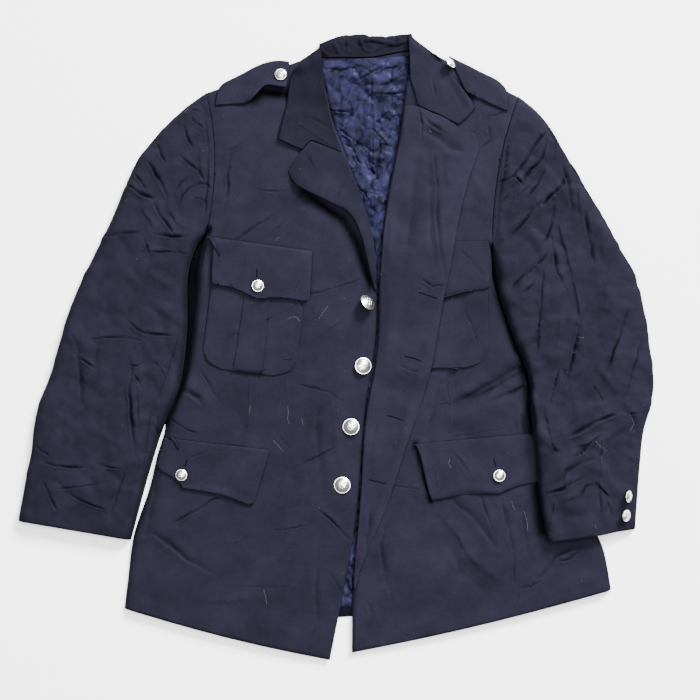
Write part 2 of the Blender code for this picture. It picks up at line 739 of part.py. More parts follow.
def make_sleeves():
    across = np.array(ARM_STEPS)
    down = even(20)
    outer, inner = sleeve_right_lines(down)
    grid = ruled(outer, inner, across)
    grid = seam_at_armhole(grid, armhole_line(ARMHOLE_RIGHT, across, -SEAM), down)
    shell = [[(x, y, sleeve_right_top(x, y, along)) for x, y in row] for row, along in zip(grid, down)]
    sheet("topsleeve_right", shell, WOOL, NAVY)
    down = even(12)
    outer, inner = sleeve_right_lines(down)
    grid = seam_at_armhole(ruled(outer, inner, even(6)), armhole_line(ARMHOLE_RIGHT, even(6), -SEAM), down)
    sheet("undersleeve_right", raised(grid, lambda x, y: WOOL), WOOL, NAVY)

    down = even(20)
    inner, outer = sleeve_left_lines(down)
    grid = ruled(inner, outer, across)
    grid = seam_at_armhole(grid, armhole_line(ARMHOLE_LEFT, across, SEAM)[::-1], down)
    shell = [[(x, y, sleeve_left_top(x, y, along)) for x, y in row] for row, along in zip(grid, down)]
    sheet("topsleeve_left", shell, WOOL, NAVY)
    grid = ruled(inner, outer, even(8))
    grid = seam_at_armhole(grid, armhole_line(ARMHOLE_LEFT, even(8), SEAM)[::-1], down)
    sheet("undersleeve_left", raised(grid, sleeve_left_under), WOOL, NAVY)


def seam_at_armhole(grid, seam, down):
    """Bend the first rings of a sleeve to its armhole seam."""
    bend = seam - np.array(grid[0])
    return [[point + shift * (1.0 - ease(v / SLEEVE_SEAM_REACH)) for point, shift in zip(row, bend)]
            for row, v in zip(grid, down)]


def bend_to_gorge(grid, gorge):
    """Bend the rows nearest a gorge seam, which come first in the grid, to that seam."""
    bend = np.array(gorge, float) - np.array(grid[0])
    return [[tuple(np.array(point) + shift * max(0.0, 1.0 - i / GORGE_REACH))
             for point, shift in zip(row, bend)]
            for i, row in enumerate(grid)]


def make_collar():
    """Two leaves on the fronts and the back of the stand, whose fall lies under the back."""
    down = even(9)

    def right_rest(x, y):
        tuck = roll(distance([COLLAR_FOLD_RIGHT], x, y), COLLAR_FOLD_WIDTH)
        return front_rest(x, y) + crown(EDGE_RIGHT, x, y) * tuck

    def left_rest(x, y):
        tuck = roll(distance([COLLAR_FOLD_LEFT], x, y), COLLAR_FOLD_WIDTH)
        return front_rest(x, y) + crown(EDGE_LEFT, x, y) * tuck

    for name, table, steps, gorge, rest, below in (
            ("collar_right", COLLAR_RIGHT, GORGE_STEPS_RIGHT, GORGE_COLLAR_RIGHT, right_rest, "front_right"),
            ("collar_left", COLLAR_LEFT, GORGE_STEPS_LEFT, GORGE_COLLAR_LEFT, left_rest, "front_left")):
        grid = ruled(left_line(table, down), right_line(table, down), np.array(steps))
        grid = bend_to_gorge(grid[::-1], gorge)[::-1]
        sheet(name, settle(laid(grid, rest, STACK + DOUBLED), [below], DOUBLED), DOUBLED, NAVY_LIGHT)

    steps = even(10)
    seam = curve(COLLAR_SEAM, steps)
    crease = curve(COLLAR_CREASE, steps)
    profile = []
    for (seam_x, seam_y), (x, crease_y) in zip(seam, crease):
        section = [
            (seam_y, COLLAR_FOOT),
            (seam_y + COLLAR_FOOT_DEPTH, COLLAR_FOOT + COLLAR_FOOT_RISE),
            (0.5 * (seam_y + crease_y) + COLLAR_HIGHEST, COLLAR_TOP),
            (crease_y - COLLAR_TURN, COLLAR_TOP),
            (crease_y - COLLAR_ROUND, COLLAR_TOP - COLLAR_ROUND_DROP),
            (crease_y, 0.5 * COLLAR_TOP),
            (crease_y - COLLAR_ROUND, COLLAR_ROUND_DROP),
            (crease_y - COLLAR_TURN, 0.0),
            (0.5 * (COLLAR_FALL_END + crease_y), 0.0),
            (COLLAR_FALL_END, 0.0)]
        profile.append([(x, y, z) for y, z in section])
    grid = [list(row) for row in zip(*profile)]
    grid.reverse()
    sheet("collar_back", grid, WOOL, NAVY_LIGHT)


def make_lapel_and_facing():
    down = even(14)
    grid = ruled(left_line(LAPEL_RIGHT, down), right_line(LAPEL_RIGHT, down), even(6))
    grid = bend_to_gorge(grid, GORGE_LAPEL_RIGHT)
    grid = settle(laid(grid, front_right_top, STACK + DOUBLED), ["front_right"], DOUBLED)
    sheet("lapel_right", grid, DOUBLED, NAVY_LIGHT)

    def over_pocket(x, y):
        return front_left_top(x, y) + (WOOL + DOUBLED + COVER_STACKS * STACK) * pocket_cover(x, y)

    down = even(26)
    grid = ruled(left_line(FACING_LEFT, down), right_line(FACING_LEFT, down), even(6))
    grid = bend_to_gorge(grid, GORGE_FACING_LEFT)
    below = ["front_left", "pocket_breast_left", "flap_breast_left"]
    sheet("facing_left", settle(laid(grid, over_pocket, STACK + WOOL), below, WOOL), WOOL, NAVY_LIGHT)


def pocket_cover(x, y):
    """1 over the left breast pocket, falling away around it."""
    pocket = POCKET_LEFT
    left = ease((x - pocket.x + COVER_SIDE + COVER_REACH) / COVER_REACH)
    right = ease((pocket.x + pocket.width + COVER_SIDE + COVER_REACH - x) / COVER_REACH)
    upper = ease((pocket.y + COVER_ABOVE + COVER_REACH - y) / COVER_REACH)
    lower = ease((y - pocket.y + pocket.depth + COVER_BELOW + COVER_REACH) / COVER_REACH)
    return left * right * upper * lower


def on_pocket(pocket, across, down):
    """Place of a point given by its distances along a pocket's top edge and down from it."""
    tilt = math.radians(pocket.tilt)
    x = pocket.x + across * math.cos(tilt) + down * (math.sin(tilt) + pocket.skew)
    y = pocket.y + across * math.sin(tilt) - down * math.cos(tilt)
    return x, y


def make_pocket(name, pocket, surface, below):
    """Patch pocket with rounded lower corners and a box pleat down its middle."""
    half = pocket.width / 2
    edge = PLEAT_WIDTH / 2
    pleat = (-edge - PLEAT_FOLD, -edge + PLEAT_FOLD, edge - PLEAT_FOLD, edge + PLEAT_FOLD)
    grid = []
    for depth in (*POCKET_DEPTHS, pocket.depth):
        past = max(0.0, depth - (pocket.depth - POCKET_CORNER)) / POCKET_CORNER
        reach = half - POCKET_CORNER * (1.0 - math.sqrt(max(0.0, 1.0 - past * past)))
        folds = iter(pleat)
        row = []
        for line in POCKET_LINES:
            across = next(folds) if line is None else line * reach
            x, y = on_pocket(pocket, half + across, depth)
            up = PLEAT_RISE * (abs(across) < edge)
            row.append(lift_off(surface, x, y, STACK + WOOL + up))
        grid.append(row)
    return sheet(name, settle(grid, below, WOOL), WOOL, NAVY)


def flap_depth(flap, line):
    """Depth of a flap at a fraction of its width: hollow curves from each corner to its point."""
    if line < flap.tip_at:
        share, corner = line / flap.tip_at, flap.left_depth
    else:
        share, corner = (1.0 - line) / (1.0 - flap.tip_at), flap.right_depth
    rounding = FLAP_CORNER * max(0.0, 1.0 - min(line, 1.0 - line) * flap.width / FLAP_CORNER) ** 2
    return corner + (flap.tip_depth - corner) * share - FLAP_HOLLOW * math.sin(math.pi * share) - rounding


def make_flap(name, flap, surface, rise, below):
    """Pocket flap with a point over its button."""
    lines = [flap.tip_at * step for step in FLAP_SIDE_STEPS] + [flap.tip_at]
    lines += [1.0 - (1.0 - flap.tip_at) * step for step in reversed(FLAP_SIDE_STEPS)]
    grid = []
    for down in FLAP_DOWN_STEPS:
        row = []
        for line in lines:
            x, y = on_pocket(flap, line * flap.width, flap_depth(flap, line) * down)
            row.append(lift_off(surface, x, y, rise))
        grid.append(row)
    return sheet(name, settle(grid, below, DOUBLED), DOUBLED, NAVY_LIGHT)


def make_pockets():
    patch_rise = STACK + WOOL
    flap_rise = patch_rise + PLEAT_RISE + STACK + DOUBLED
    right, left = ["front_right"], ["front_left"]
    make_pocket("pocket_breast_right", POCKET_RIGHT, front_right_top, right)
    make_pocket("pocket_breast_left", POCKET_LEFT, front_left_top, left)
    pocket_right, pocket_left = right + ["pocket_breast_right"], left + ["pocket_breast_left"]
    make_flap("flap_breast_right", BREAST_FLAP_RIGHT, front_right_top, flap_rise, pocket_right)
    make_flap("flap_breast_left", BREAST_FLAP_LEFT, front_left_top, flap_rise, pocket_left)
    make_flap("flap_waist_right", WAIST_FLAP_RIGHT, front_right_top, STACK + DOUBLED, right)
    make_flap("flap_waist_left", WAIST_FLAP_LEFT, front_left_top, STACK + DOUBLED, left)


def make_straps():
    """Shoulder straps, sewn in at the sleeve and buttoned near the collar."""
    down = even(10)
    across = np.array(STRAP_STEPS)
    for name, table, edge, below in (
            ("strap_right", STRAP_RIGHT, EDGE_RIGHT, "front_right"),
            ("strap_left", STRAP_LEFT, EDGE_LEFT, "front_left")):
        shoulder = right_line(table, FINE)

        def strap_rest(x, y):
            return front_rest(x, y) + crown(edge, x, y) * roll(STRAP_EDGE + distance([shoulder], x, y))

        grid = ruled(left_line(table, down), right_line(table, down), across)
        grid = settle(laid(grid, strap_rest, STRAP_LIFT + DOUBLED), [below], DOUBLED)
        sheet(name, grid, DOUBLED, NAVY_LIGHT)


def make_button(name, button, surface, below):
    """Domed metal button: a turned profile, tilted and set down on the cloth."""
    radius = 0.5 * button.diameter
    dome = BUTTON_DOME * button.diameter
    profile = [(0.0, dome + BUTTON_RIM)]
    for row in range(1, BUTTON_ROWS):
        angle = 0.5 * math.pi * (1.0 - row / BUTTON_ROWS)
        profile.append((BUTTON_DOME_RADIUS * radius * math.cos(angle), BUTTON_RIM + dome * math.sin(angle)))
    profile += [(ring.radius * radius, ring.height) for ring in BUTTON_EDGE]
    mesh = bpy.data.meshes.new(name)
    points = [(r * MM, 0.0, z * MM) for r, z in profile]
    mesh.from_pydata(points, [(i, i + 1) for i in range(len(points) - 1)], [])
    piece = bpy.data.objects.new(name, mesh)
    jacket.objects.link(piece)
    mesh.materials.append(cloth_material(name, NICKEL, 0.35, 1.0))
    turn = piece.modifiers.new("turned", "SCREW")
    turn.axis = "Z"
    turn.steps = 16
    turn.render_steps = 16
    turn.use_merge_vertices = True
    turn.merge_threshold = 0.00001
    turn.use_smooth_shade = True
    piece.rotation_euler = (math.radians(button.lean_x), math.radians(button.lean_y), 0.0)
    seat = surface(button.x, button.y)
    lean = piece.rotation_euler.to_matrix()
    trees = trees_of(below)
    lifts = []
    for ring in BUTTON_EDGE:
        for step in range(BUTTON_SEAT_PLACES):
            turned = 2 * math.pi * step / BUTTON_SEAT_PLACES
            out = ring.radius * radius
            spot = lean @ Vector((out * math.cos(turned), out * math.sin(turned), ring.height))
            cloth = top_below(trees, button.x + spot.x, button.y + spot.y)
            if cloth is not None:
                lifts.append(cloth + CLEAR - seat - spot.z)
    piece.location = placed((button.x, button.y, seat + max(lifts)))
    return piece


def make_buttons():
    for number, button in enumerate(FRONT_BUTTONS, 1):
        make_button(f"button_front_{number}", button, front_right_top, ["front_right"])
    for name, button, below in FLAP_BUTTONS + STRAP_BUTTONS:
        surface = front_right_top if button.x < 0 else front_left_top
        make_button(name, button, surface, [below, "collar_left"])
    for number, button in enumerate(CUFF_BUTTONS, 1):
        make_button(f"button_cuff_left_{number}", button, cuff_left_top, ["topsleeve_left"])


def cuff_left_top(x, y):
    return sleeve_left_top(x, y, CUFF_BUTTONS_AT)


for thing in list(bpy.data.objects):
    bpy.data.objects.remove(thing, do_unlink=True)
jacket = new_collection(PART_NAME)
make_back()
make_lining()
make_fronts()
make_sleeves()
make_collar()
make_pockets()
make_lapel_and_facing()
make_straps()
make_buttons()
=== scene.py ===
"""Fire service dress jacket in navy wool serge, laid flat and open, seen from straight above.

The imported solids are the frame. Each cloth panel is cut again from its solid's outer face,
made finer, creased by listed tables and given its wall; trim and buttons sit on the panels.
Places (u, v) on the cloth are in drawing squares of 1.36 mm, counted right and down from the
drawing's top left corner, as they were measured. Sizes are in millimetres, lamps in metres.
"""

import math
from collections import namedtuple

import bmesh
import bpy
import numpy as np
from mathutils import Matrix, Vector, noise
from mathutils.bvhtree import BVHTree


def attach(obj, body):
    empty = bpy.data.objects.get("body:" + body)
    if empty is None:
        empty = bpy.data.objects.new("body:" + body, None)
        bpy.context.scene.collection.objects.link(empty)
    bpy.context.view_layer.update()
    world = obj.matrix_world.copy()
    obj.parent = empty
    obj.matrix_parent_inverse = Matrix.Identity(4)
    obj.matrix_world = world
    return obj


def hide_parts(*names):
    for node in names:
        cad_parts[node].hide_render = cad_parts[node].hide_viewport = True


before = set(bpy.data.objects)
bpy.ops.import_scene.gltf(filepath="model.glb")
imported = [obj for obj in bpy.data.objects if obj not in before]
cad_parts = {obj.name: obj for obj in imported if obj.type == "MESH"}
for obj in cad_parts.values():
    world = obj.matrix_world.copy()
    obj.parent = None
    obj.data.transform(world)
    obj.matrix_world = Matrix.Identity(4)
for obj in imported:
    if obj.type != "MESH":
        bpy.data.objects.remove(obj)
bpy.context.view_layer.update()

MM = 0.001
SQUARE = 1.36
MIDDLE_U, MIDDLE_V = 336.13, 346.74


def over(u, v):
    """A place in the drawing, as millimetres right of and above the jacket's middle."""
    return (np.asarray(u, float) - MIDDLE_U) * SQUARE, (MIDDLE_V - np.asarray(v, float)) * SQUARE


# Camera, floor and light.

CAMERA_HEIGHT = 2500
VIEW_WIDTH = 952
VIEW_CENTRE = (18.9, -4.4)
SENSOR = 36
Lamp = namedtuple("Lamp", "name place size power")
LAMPS = (
    Lamp("sky", (0.1, 0.1, 3.3), 3.0, 330),
    Lamp("window", (2.8, 4.7, 3.4), 2.0, 2200),
)
ROOM_LIGHT = 0.3
FLOOR_HALF = 4.0


def put_in_scene(name, data):
    """A new object in the scene, at the origin."""
    made = bpy.data.objects.new(name, data)
    bpy.context.scene.collection.objects.link(made)
    return made


def set_up_studio():
    """Overhead camera, a pale floor, a wide soft lamp above and a strong one past the collar."""
    lens = bpy.data.cameras.new("overhead")
    lens.sensor_width = SENSOR
    lens.lens = SENSOR * CAMERA_HEIGHT / VIEW_WIDTH
    camera = put_in_scene("overhead", lens)
    camera.location = (VIEW_CENTRE[0] * MM, VIEW_CENTRE[1] * MM, CAMERA_HEIGHT * MM)
    bpy.context.scene.camera = camera

    form = bmesh.new()
    bmesh.ops.create_grid(form, x_segments=1, y_segments=1, size=FLOOR_HALF)
    floor = new_piece("floor", form)
    floor.data.materials.append(studio_paper())

    for lamp in LAMPS:
        source = bpy.data.lights.new(lamp.name, "AREA")
        source.size = lamp.size
        source.energy = lamp.power
        light = put_in_scene(lamp.name, source)
        light.location = lamp.place
        light.rotation_euler = (-Vector(lamp.place)).to_track_quat("-Z", "Y").to_euler()

    world = bpy.data.worlds.new("studio")
    world.use_nodes = True
    world.node_tree.nodes["Background"].inputs["Color"].default_value = (1, 1, 1, 1)
    world.node_tree.nodes["Background"].inputs["Strength"].default_value = ROOM_LIGHT
    bpy.context.scene.world = world


# Materials.

def colour(code):
    """An sRGB hex colour, turned linear."""
    parts = [int(code[i:i + 2], 16) / 255 for i in (1, 3, 5)]
    return [c / 12.92 if c <= 0.04045 else ((c + 0.055) / 1.055) ** 2.4 for c in parts] + [1.0]


def node(tree, kind, settings=None, **links):
    """A new node, with settings on its properties and sockets, and links into its sockets.

    A link is named for its socket, or _0, _1 and so on for sockets that share a name. A ramp's
    stops are pairs of the amount and the colour.
    """
    made = tree.nodes.new("ShaderNode" + kind)
    for key, value in (settings or {}).items():
        if key == "stops":
            for stop, (amount, code) in zip(made.color_ramp.elements, value):
                stop.position, stop.color = amount, colour(code)
        elif isinstance(key, int) or key in made.inputs:
            made.inputs[key].default_value = value
        else:
            setattr(made, key, value)
    for socket, source in links.items():
        where = int(socket[1:]) if socket[0] == "_" else socket.replace("_", " ")
        tree.links.new(source, made.inputs[where])
    return made


def new_material(name, **settings):
    """A material, its nodes and its surface, with the surface's settings."""
    material = bpy.data.materials.new(name)
    material.use_nodes = True
    shader = material.node_tree.nodes["Principled BSDF"]
    for key, value in settings.items():
        shader.inputs[key.replace("_", " ")].default_value = value
    return material, material.node_tree, shader


def plain_material(name, code, roughness):
    """A matt material of one colour."""
    return new_material(name, Base_Color=colour(code), Roughness=roughness, Specular_IOR_Level=0.02)[0]


def studio_paper():
    """White background paper: matt and evenly bright."""
    return plain_material("studio_paper", "#F8F8F8", 0.9)


CONTACT_REACH = 9 * MM


def contact_shade(tree, base):
    """Darkens a colour where other cloth lies close over or beside it."""
    contact = node(tree, "AmbientOcclusion", {"Distance": CONTACT_REACH, "samples": 8})
    shade = node(tree, "ValToRGB", {"stops": ((0.25, "#50505A"), (0.85, "#FFFFFF"))},
                 Fac=contact.outputs["AO"])
    shaded = node(tree, "MixRGB", {"blend_type": "MULTIPLY", "Fac": 1.0},
                  Color1=base, Color2=shade.outputs[0])
    return shaded.outputs[0]


def wool_serge():
    """Navy wool serge, woven as a twill and brushed: cloudy nap, pale on folds, painted shade in
    creases.

    The real twill's lines are about 0.5 mm apart, too fine to show. They are drawn 1.3 mm apart.
    """
    material, tree, shader = new_material(
        "wool_serge", Roughness=0.86, Sheen_Weight=0.03, Sheen_Roughness=0.5,
        Sheen_Tint=colour("#8F8CA6"), Specular_IOR_Level=0.02)
    place = node(tree, "TexCoord").outputs["Object"]
    cloud = node(tree, "TexNoise", {"Scale": 22.0, "Detail": 6.0, "Roughness": 0.68}, Vector=place)
    nap = node(tree, "TexNoise", {"Scale": 520.0, "Detail": 3.0, "Roughness": 0.7}, Vector=place)
    twill = node(tree, "TexWave", {"Scale": 340.0, "Distortion": 1.5, "bands_direction": "DIAGONAL"},
                 Vector=place)
    half = node(tree, "Math", {"operation": "MULTIPLY", 1: 0.62}, _0=cloud.outputs["Fac"])
    mixed = node(tree, "Math", {"operation": "MULTIPLY_ADD", 1: 0.38},
                 _0=nap.outputs["Fac"], _2=half.outputs[0])
    base = node(tree, "ValToRGB", {"stops": ((0.36, "#111019"), (0.64, "#191823"))},
                Fac=mixed.outputs[0]).outputs[0]
    # Painted shade in the creases, the crumple valleys and the deep gaps, read from a point attribute.
    painted_shade = node(tree, "Attribute", {"attribute_name": "painted_shade"})
    darker = node(tree, "MixRGB", {"blend_type": "MULTIPLY", "Color2": colour("#303038")},
                  Fac=painted_shade.outputs["Fac"], Color1=base)
    # Painted light and shade: each panel drawn lighter or darker, and darker where its cloth tilts
    # away.
    tone = node(tree, "Attribute", {"attribute_name": "tone"})
    lit_and_shaded = node(tree, "MixRGB", {"blend_type": "MULTIPLY", "Fac": 1.0},
                 Color1=darker.outputs[0], Color2=tone.outputs["Fac"])
    tree.links.new(contact_shade(tree, lit_and_shaded.outputs[0]), shader.inputs["Base Color"])
    weave = node(tree, "Math", {"operation": "MULTIPLY_ADD", 1: 0.35},
                 _0=twill.outputs["Fac"], _2=nap.outputs["Fac"])
    bump = node(tree, "Bump", {"Strength": 0.4, "Distance": 0.0005}, Height=weave.outputs[0])
    tree.links.new(bump.outputs[0], shader.inputs["Normal"])
    return material


def satin_lining():
    """Blue acetate satin: smooth and deep, with bright soft highlights along every crumple."""
    material, tree, shader = new_material("satin_lining", Roughness=0.42, Specular_IOR_Level=0.05,
                                          Specular_Tint=colour("#B4B4E0"))
    place = node(tree, "TexCoord").outputs["Object"]
    cloud = node(tree, "TexNoise", {"Scale": 60.0, "Detail": 3.0}, Vector=place)
    base = node(tree, "ValToRGB", {"stops": ((0.35, "#13131F"), (0.65, "#1E1E35"))},
                Fac=cloud.outputs["Fac"]).outputs[0]
    # Painted shade in the crumple valleys and the deep gaps, read from a point attribute.
    painted_shade = node(tree, "Attribute", {"attribute_name": "painted_shade"})
    darker = node(tree, "MixRGB", {"blend_type": "MULTIPLY", "Color2": colour("#505060")},
                  Fac=painted_shade.outputs["Fac"], Color1=base)
    tree.links.new(contact_shade(tree, darker.outputs[0]), shader.inputs["Base Color"])
    return material


def nickel_plate():
    """Nickel plated brass, stamped: bright grey metal, browner where the plate has worn and dulled."""
    material, tree, shader = new_material("nickel_plate", Metallic=1.0, Roughness=0.28)
    place = node(tree, "TexCoord").outputs["Object"]
    tarnish = node(tree, "TexNoise", {"Scale": 500.0, "Detail": 3.0}, Vector=place)
    base = node(tree, "ValToRGB", {"stops": ((0.3, "#B9B2A6"), (0.55, "#F2EFE9"))},
                Fac=tarnish.outputs["Fac"])
    tree.links.new(base.outputs[0], shader.inputs["Base Color"])
    return material


# Cutting a panel again from its solid.

FIT_LEVELS = 2
FIT_TURNS = 4
FIT_EASE = 0.9
SAME_POINT = 0.01
MOST_LEVEL = 0.8
SKIN_BEND = math.radians(50)
CORNER_BEND = math.radians(38)
QUAD_BEND = math.radians(40)
QUAD_SKEW = math.radians(120)


def new_piece(name, form):
    """An object at the origin from a bmesh, which it uses up."""
    mesh = bpy.data.meshes.new(name)
    form.to_mesh(mesh)
    form.free()
    return put_in_scene(name, mesh)


def apply_modifiers(piece):
    """Bakes the piece's modifiers into its mesh."""
    graph = bpy.context.evaluated_depsgraph_get()
    mesh = bpy.data.meshes.new_from_object(piece.evaluated_get(graph))
    piece.modifiers.clear()
    piece.data = mesh


def outer_face(name, side, merge, thinnest):
    """The face of a solid that shows from above, or from below with side -1, as quads.

    Points inside it that are closer than merge are made one, and slivers are mended.
    """
    form = bmesh.new()
    form.from_mesh(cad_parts[name].data)
    bmesh.ops.remove_doubles(form, verts=form.verts, dist=SAME_POINT * MM)
    form.normal_update()

    def facing(face):
        level = face.normal.z * side > MOST_LEVEL
        return face.calc_area() * level * (1 + face.calc_center_median().z * side)

    start = max(form.faces, key=facing)
    kept = {start}
    edge_of_search = [start]
    while edge_of_search:
        for edge in edge_of_search.pop().edges:
            if len(edge.link_faces) == 2 and edge.calc_face_angle() < SKIN_BEND:
                fresh = [face for face in edge.link_faces if face not in kept]
                kept.update(fresh)
                edge_of_search += fresh
    bmesh.ops.delete(form, geom=[face for face in form.faces if face not in kept], context="FACES")
    inner = [point for point in form.verts if not point.is_boundary]
    bmesh.ops.remove_doubles(form, verts=inner, dist=merge * MM)
    mend_slivers(form, thinnest)
    bmesh.ops.join_triangles(form, faces=form.faces, angle_face_threshold=QUAD_BEND,
                             angle_shape_threshold=QUAD_SKEW)
    keep_corners(form)
    return form


def mend_slivers(form, thinnest):
    """Takes out faces thinner than thinnest, which would show as a kink in the cloth."""
    for face in list(form.faces):
        if not face.is_valid:
            continue
        longest = max(face.edges, key=lambda edge: edge.calc_length())
        if 2 * face.calc_area() / longest.calc_length() < thinnest * MM:
            if longest.is_boundary:
                bmesh.ops.delete(form, geom=[face], context="FACES")
            else:
                bmesh.ops.dissolve_edges(form, edges=[longest], use_verts=False)


def keep_corners(form):
    """Creases the outline's corner points, so that smoothing leaves them sharp."""
    mark = form.verts.layers.float.new("crease_vert")
    for point in form.verts:
        rim = [edge.other_vert(point).co - point.co for edge in point.link_edges if edge.is_boundary]
        if len(rim) == 2 and math.pi - rim[0].angle(rim[1]) > CORNER_BEND:
            point[mark] = 1.0


def make_finer(piece, levels):
    """Subdivides a panel to a smooth surface that still passes through its solid's points."""
    finer = piece.modifiers.new("finer", "SUBSURF")
    finer.levels = FIT_LEVELS
    finer.boundary_smooth = "PRESERVE_CORNERS"
    wanted = coordinates(piece.data)
    for turn in range(FIT_TURNS):
        graph = bpy.context.evaluated_depsgraph_get()
        smooth = coordinates(piece.evaluated_get(graph).data)[:len(wanted)]
        eased = coordinates(piece.data) + FIT_EASE * (wanted - smooth)
        piece.data.vertices.foreach_set("co", eased.ravel())
        piece.data.update()
    finer.levels = levels
    finer.render_levels = levels
    apply_modifiers(piece)


def coordinates(mesh, kind="co"):
    """The points of a mesh, or with kind normal which way they face, as rows."""
    rows = np.empty(3 * len(mesh.vertices))
    mesh.vertices.foreach_get(kind, rows)
    return rows.reshape(-1, 3)


AT_ONCE = 4000


def rim_distance(mesh, reach):
    """How far each point is from the panel's outline, up to reach, in millimetres."""
    form = bmesh.new()
    form.from_mesh(mesh)
    rim = np.array([point.co[:] for point in form.verts if point.is_boundary])
    form.free()
    places = coordinates(mesh)
    nearest = np.full(len(places), np.inf)
    for start in range(0, len(places), AT_ONCE):
        part = places[start:start + AT_ONCE]
        gap = ((part[:, None, :] - rim[None, :, :]) ** 2).sum(axis=2).min(axis=1)
        nearest[start:start + AT_ONCE] = np.sqrt(gap)
    return np.minimum(nearest / MM, reach)


# Creases. A line is given by its places, then how wide and how high it is; below 0 it is pressed in.
# Cloth swells up beside a pressed line, and one side falls steeper than the other. A line fades at
# its ends and wavers in depth. A step sets the cloth on the line's left that much higher.

Crease = namedtuple("Crease", "line width rise step", defaults=(0.0,))


def lines(*rows):
    """A table whose rows have the columns of Crease."""
    return tuple(Crease(*row) for row in rows)


SWELL = 0.42
SWELL_AT = 2.1
SWELL_WIDTH = 1.5
LEAN = 0.35
THIN = 0.72
FADE = 3
WAVER = 0.28
WAVER_TURNS = 9.0
WAVER_START = 40
DARKEST_RISE = 1.6
STEP_WIDTH = 7


def bell(gap, width):
    """1 at no gap, and falling softly to nearly 0 at twice the width."""
    return np.exp(-(gap / width) ** 2)


def follow(line, x, y):
    """For places in millimetres: the distance to a line, the share of it run there, and the side."""
    along_x, along_y = over([place[0] for place in line], [place[1] for place in line])
    lengths = np.hypot(np.diff(along_x), np.diff(along_y))
    nearest = np.full(len(x), np.inf)
    run = np.zeros(len(x))
    side = np.zeros(len(x))
    before = 0.0
    for i, length in enumerate(lengths):
        dx = (along_x[i + 1] - along_x[i]) / length
        dy = (along_y[i + 1] - along_y[i]) / length
        t = np.clip((x - along_x[i]) * dx + (y - along_y[i]) * dy, 0, length)
        px = x - along_x[i] - t * dx
        py = y - along_y[i] - t * dy
        gap = np.hypot(px, py)
        closer = gap < nearest
        nearest[closer] = gap[closer]
        run[closer] = (before + t[closer]) / lengths.sum()
        side[closer] = np.sign(dx * py - dy * px)[closer]
        before += length
    return nearest, run, side


def crease_height(table, x, y):
    """The heights of a table's lines at places in millimetres, and the painted shade in their troughs.
    """
    total = np.zeros(len(x))
    painted_shade = np.zeros(len(x))
    for crease in table:
        gap, run, side = follow(crease.line, x, y)
        waver = np.sin(WAVER_TURNS * run + WAVER_START * crease.rise)
        taper = (1 - np.abs(2 * run - 1) ** FADE) * (1 - WAVER + WAVER * waver)
        width = THIN * crease.width * (1 + LEAN * side)
        core = bell(gap, width)
        if crease.rise < 0:
            swell = bell(gap - SWELL_AT * width, SWELL_WIDTH * width)
            total += taper * crease.rise * (core - SWELL * (1 - core) * swell)
            # Painted shade in the trough, darker for a deeper line.
            painted_shade += taper * core ** 2 * min(1.0, -crease.rise / DARKEST_RISE)
        else:
            total += taper * crease.rise * core
        if crease.step:
            fall = bell(gap, STEP_WIDTH * crease.width)
            total += 0.5 * taper * crease.step * side * (1 - core) * fall
    return total, np.clip(painted_shade, 0, 1)


def cloudy(x, y, grain, seed):
    """Soft noise between about -1 and 1, with lumps of about grain millimetres."""
    return np.array([noise.noise((a / grain, b / grain, seed)) for a, b in zip(x, y)])


# WAVES is the slight unevenness of cloth that was worn and laid down. WANDER_X and WANDER_Y are
# how far its creases stray. The grain of CRUMPLES is a share of the facets' size.
Layer = namedtuple("Layer", "height grain seed")
WAVES = (Layer(1.2, 62, 1.0), Layer(0.45, 27, 6.0), Layer(0.14, 11, 10.0))
WANDER_X = (Layer(1.5, 16, 2.0), Layer(0.7, 6, 3.0))
WANDER_Y = (Layer(1.5, 16, 7.0), Layer(0.7, 6, 8.0))
CRUMPLES = (Layer(1.0, 1.5, 4.0), Layer(0.45, 0.75, 15.0))


def layered(layers, x, y):
    """The sum of layers of soft noise."""
    return sum(layer.height * cloudy(x, y, layer.grain, layer.seed) for layer in layers)


CRUMPLE_DRIFT = 0.25
CRUMPLE_SLANT = 0.4
VALLEY_WIDTH = 0.055


def crumples(x, y, size):
    """Cloth crumpled in the hand: facets of about the size given, and the painted shade of the valleys
    between them.
    """
    u = x + CRUMPLE_DRIFT * size * cloudy(x, y, size, 7.0)
    v = y + CRUMPLE_DRIFT * size * cloudy(x, y, size, 8.0)
    height = np.zeros(len(x))
    valley = np.zeros(len(x))
    for layer in CRUMPLES:
        hollow = cloudy(u + CRUMPLE_SLANT * v, v, layer.grain * size, layer.seed)
        ridge = cloudy(u, v - CRUMPLE_SLANT * u, layer.grain * size, layer.seed + 5)
        height += layer.height * (np.abs(hollow) - np.abs(ridge))
        valley += layer.height * bell(hollow, VALLEY_WIDTH)
    return height, np.clip(valley, 0, 1)


# Edges longer than longest are split where they are nearer than reach to a line of the table.
Split = namedtuple("Split", "reach longest")
SPLITS = (Split(900, 5.2), Split(5.0, 2.6), Split(2.2, 1.5))
WIDEST_FINE = 1.4


def refine_near(mesh, table):
    """Splits long edges, and shorter ones beside a table's lines, so that creases come out crisp."""
    for reach, longest in SPLITS:
        places = coordinates(mesh)
        x, y = places[:, 0] / MM, places[:, 1] / MM
        gap = np.full(len(x), np.inf)
        for crease in table:
            gap = np.minimum(gap, follow(crease.line, x, y)[0] - min(0.5 * crease.width, WIDEST_FINE))
        form = bmesh.new()
        form.from_mesh(mesh)
        form.verts.ensure_lookup_table()
        close = [edge for edge in form.edges if edge.calc_length() > longest * MM
                 and (gap[edge.verts[0].index] < reach or gap[edge.verts[1].index] < reach)]
        bmesh.ops.subdivide_edges(form, edges=close, cuts=1, use_grid_fill=True)
        form.to_mesh(mesh)
        form.free()


# Pressed lines and ridges, by the panel they are on.

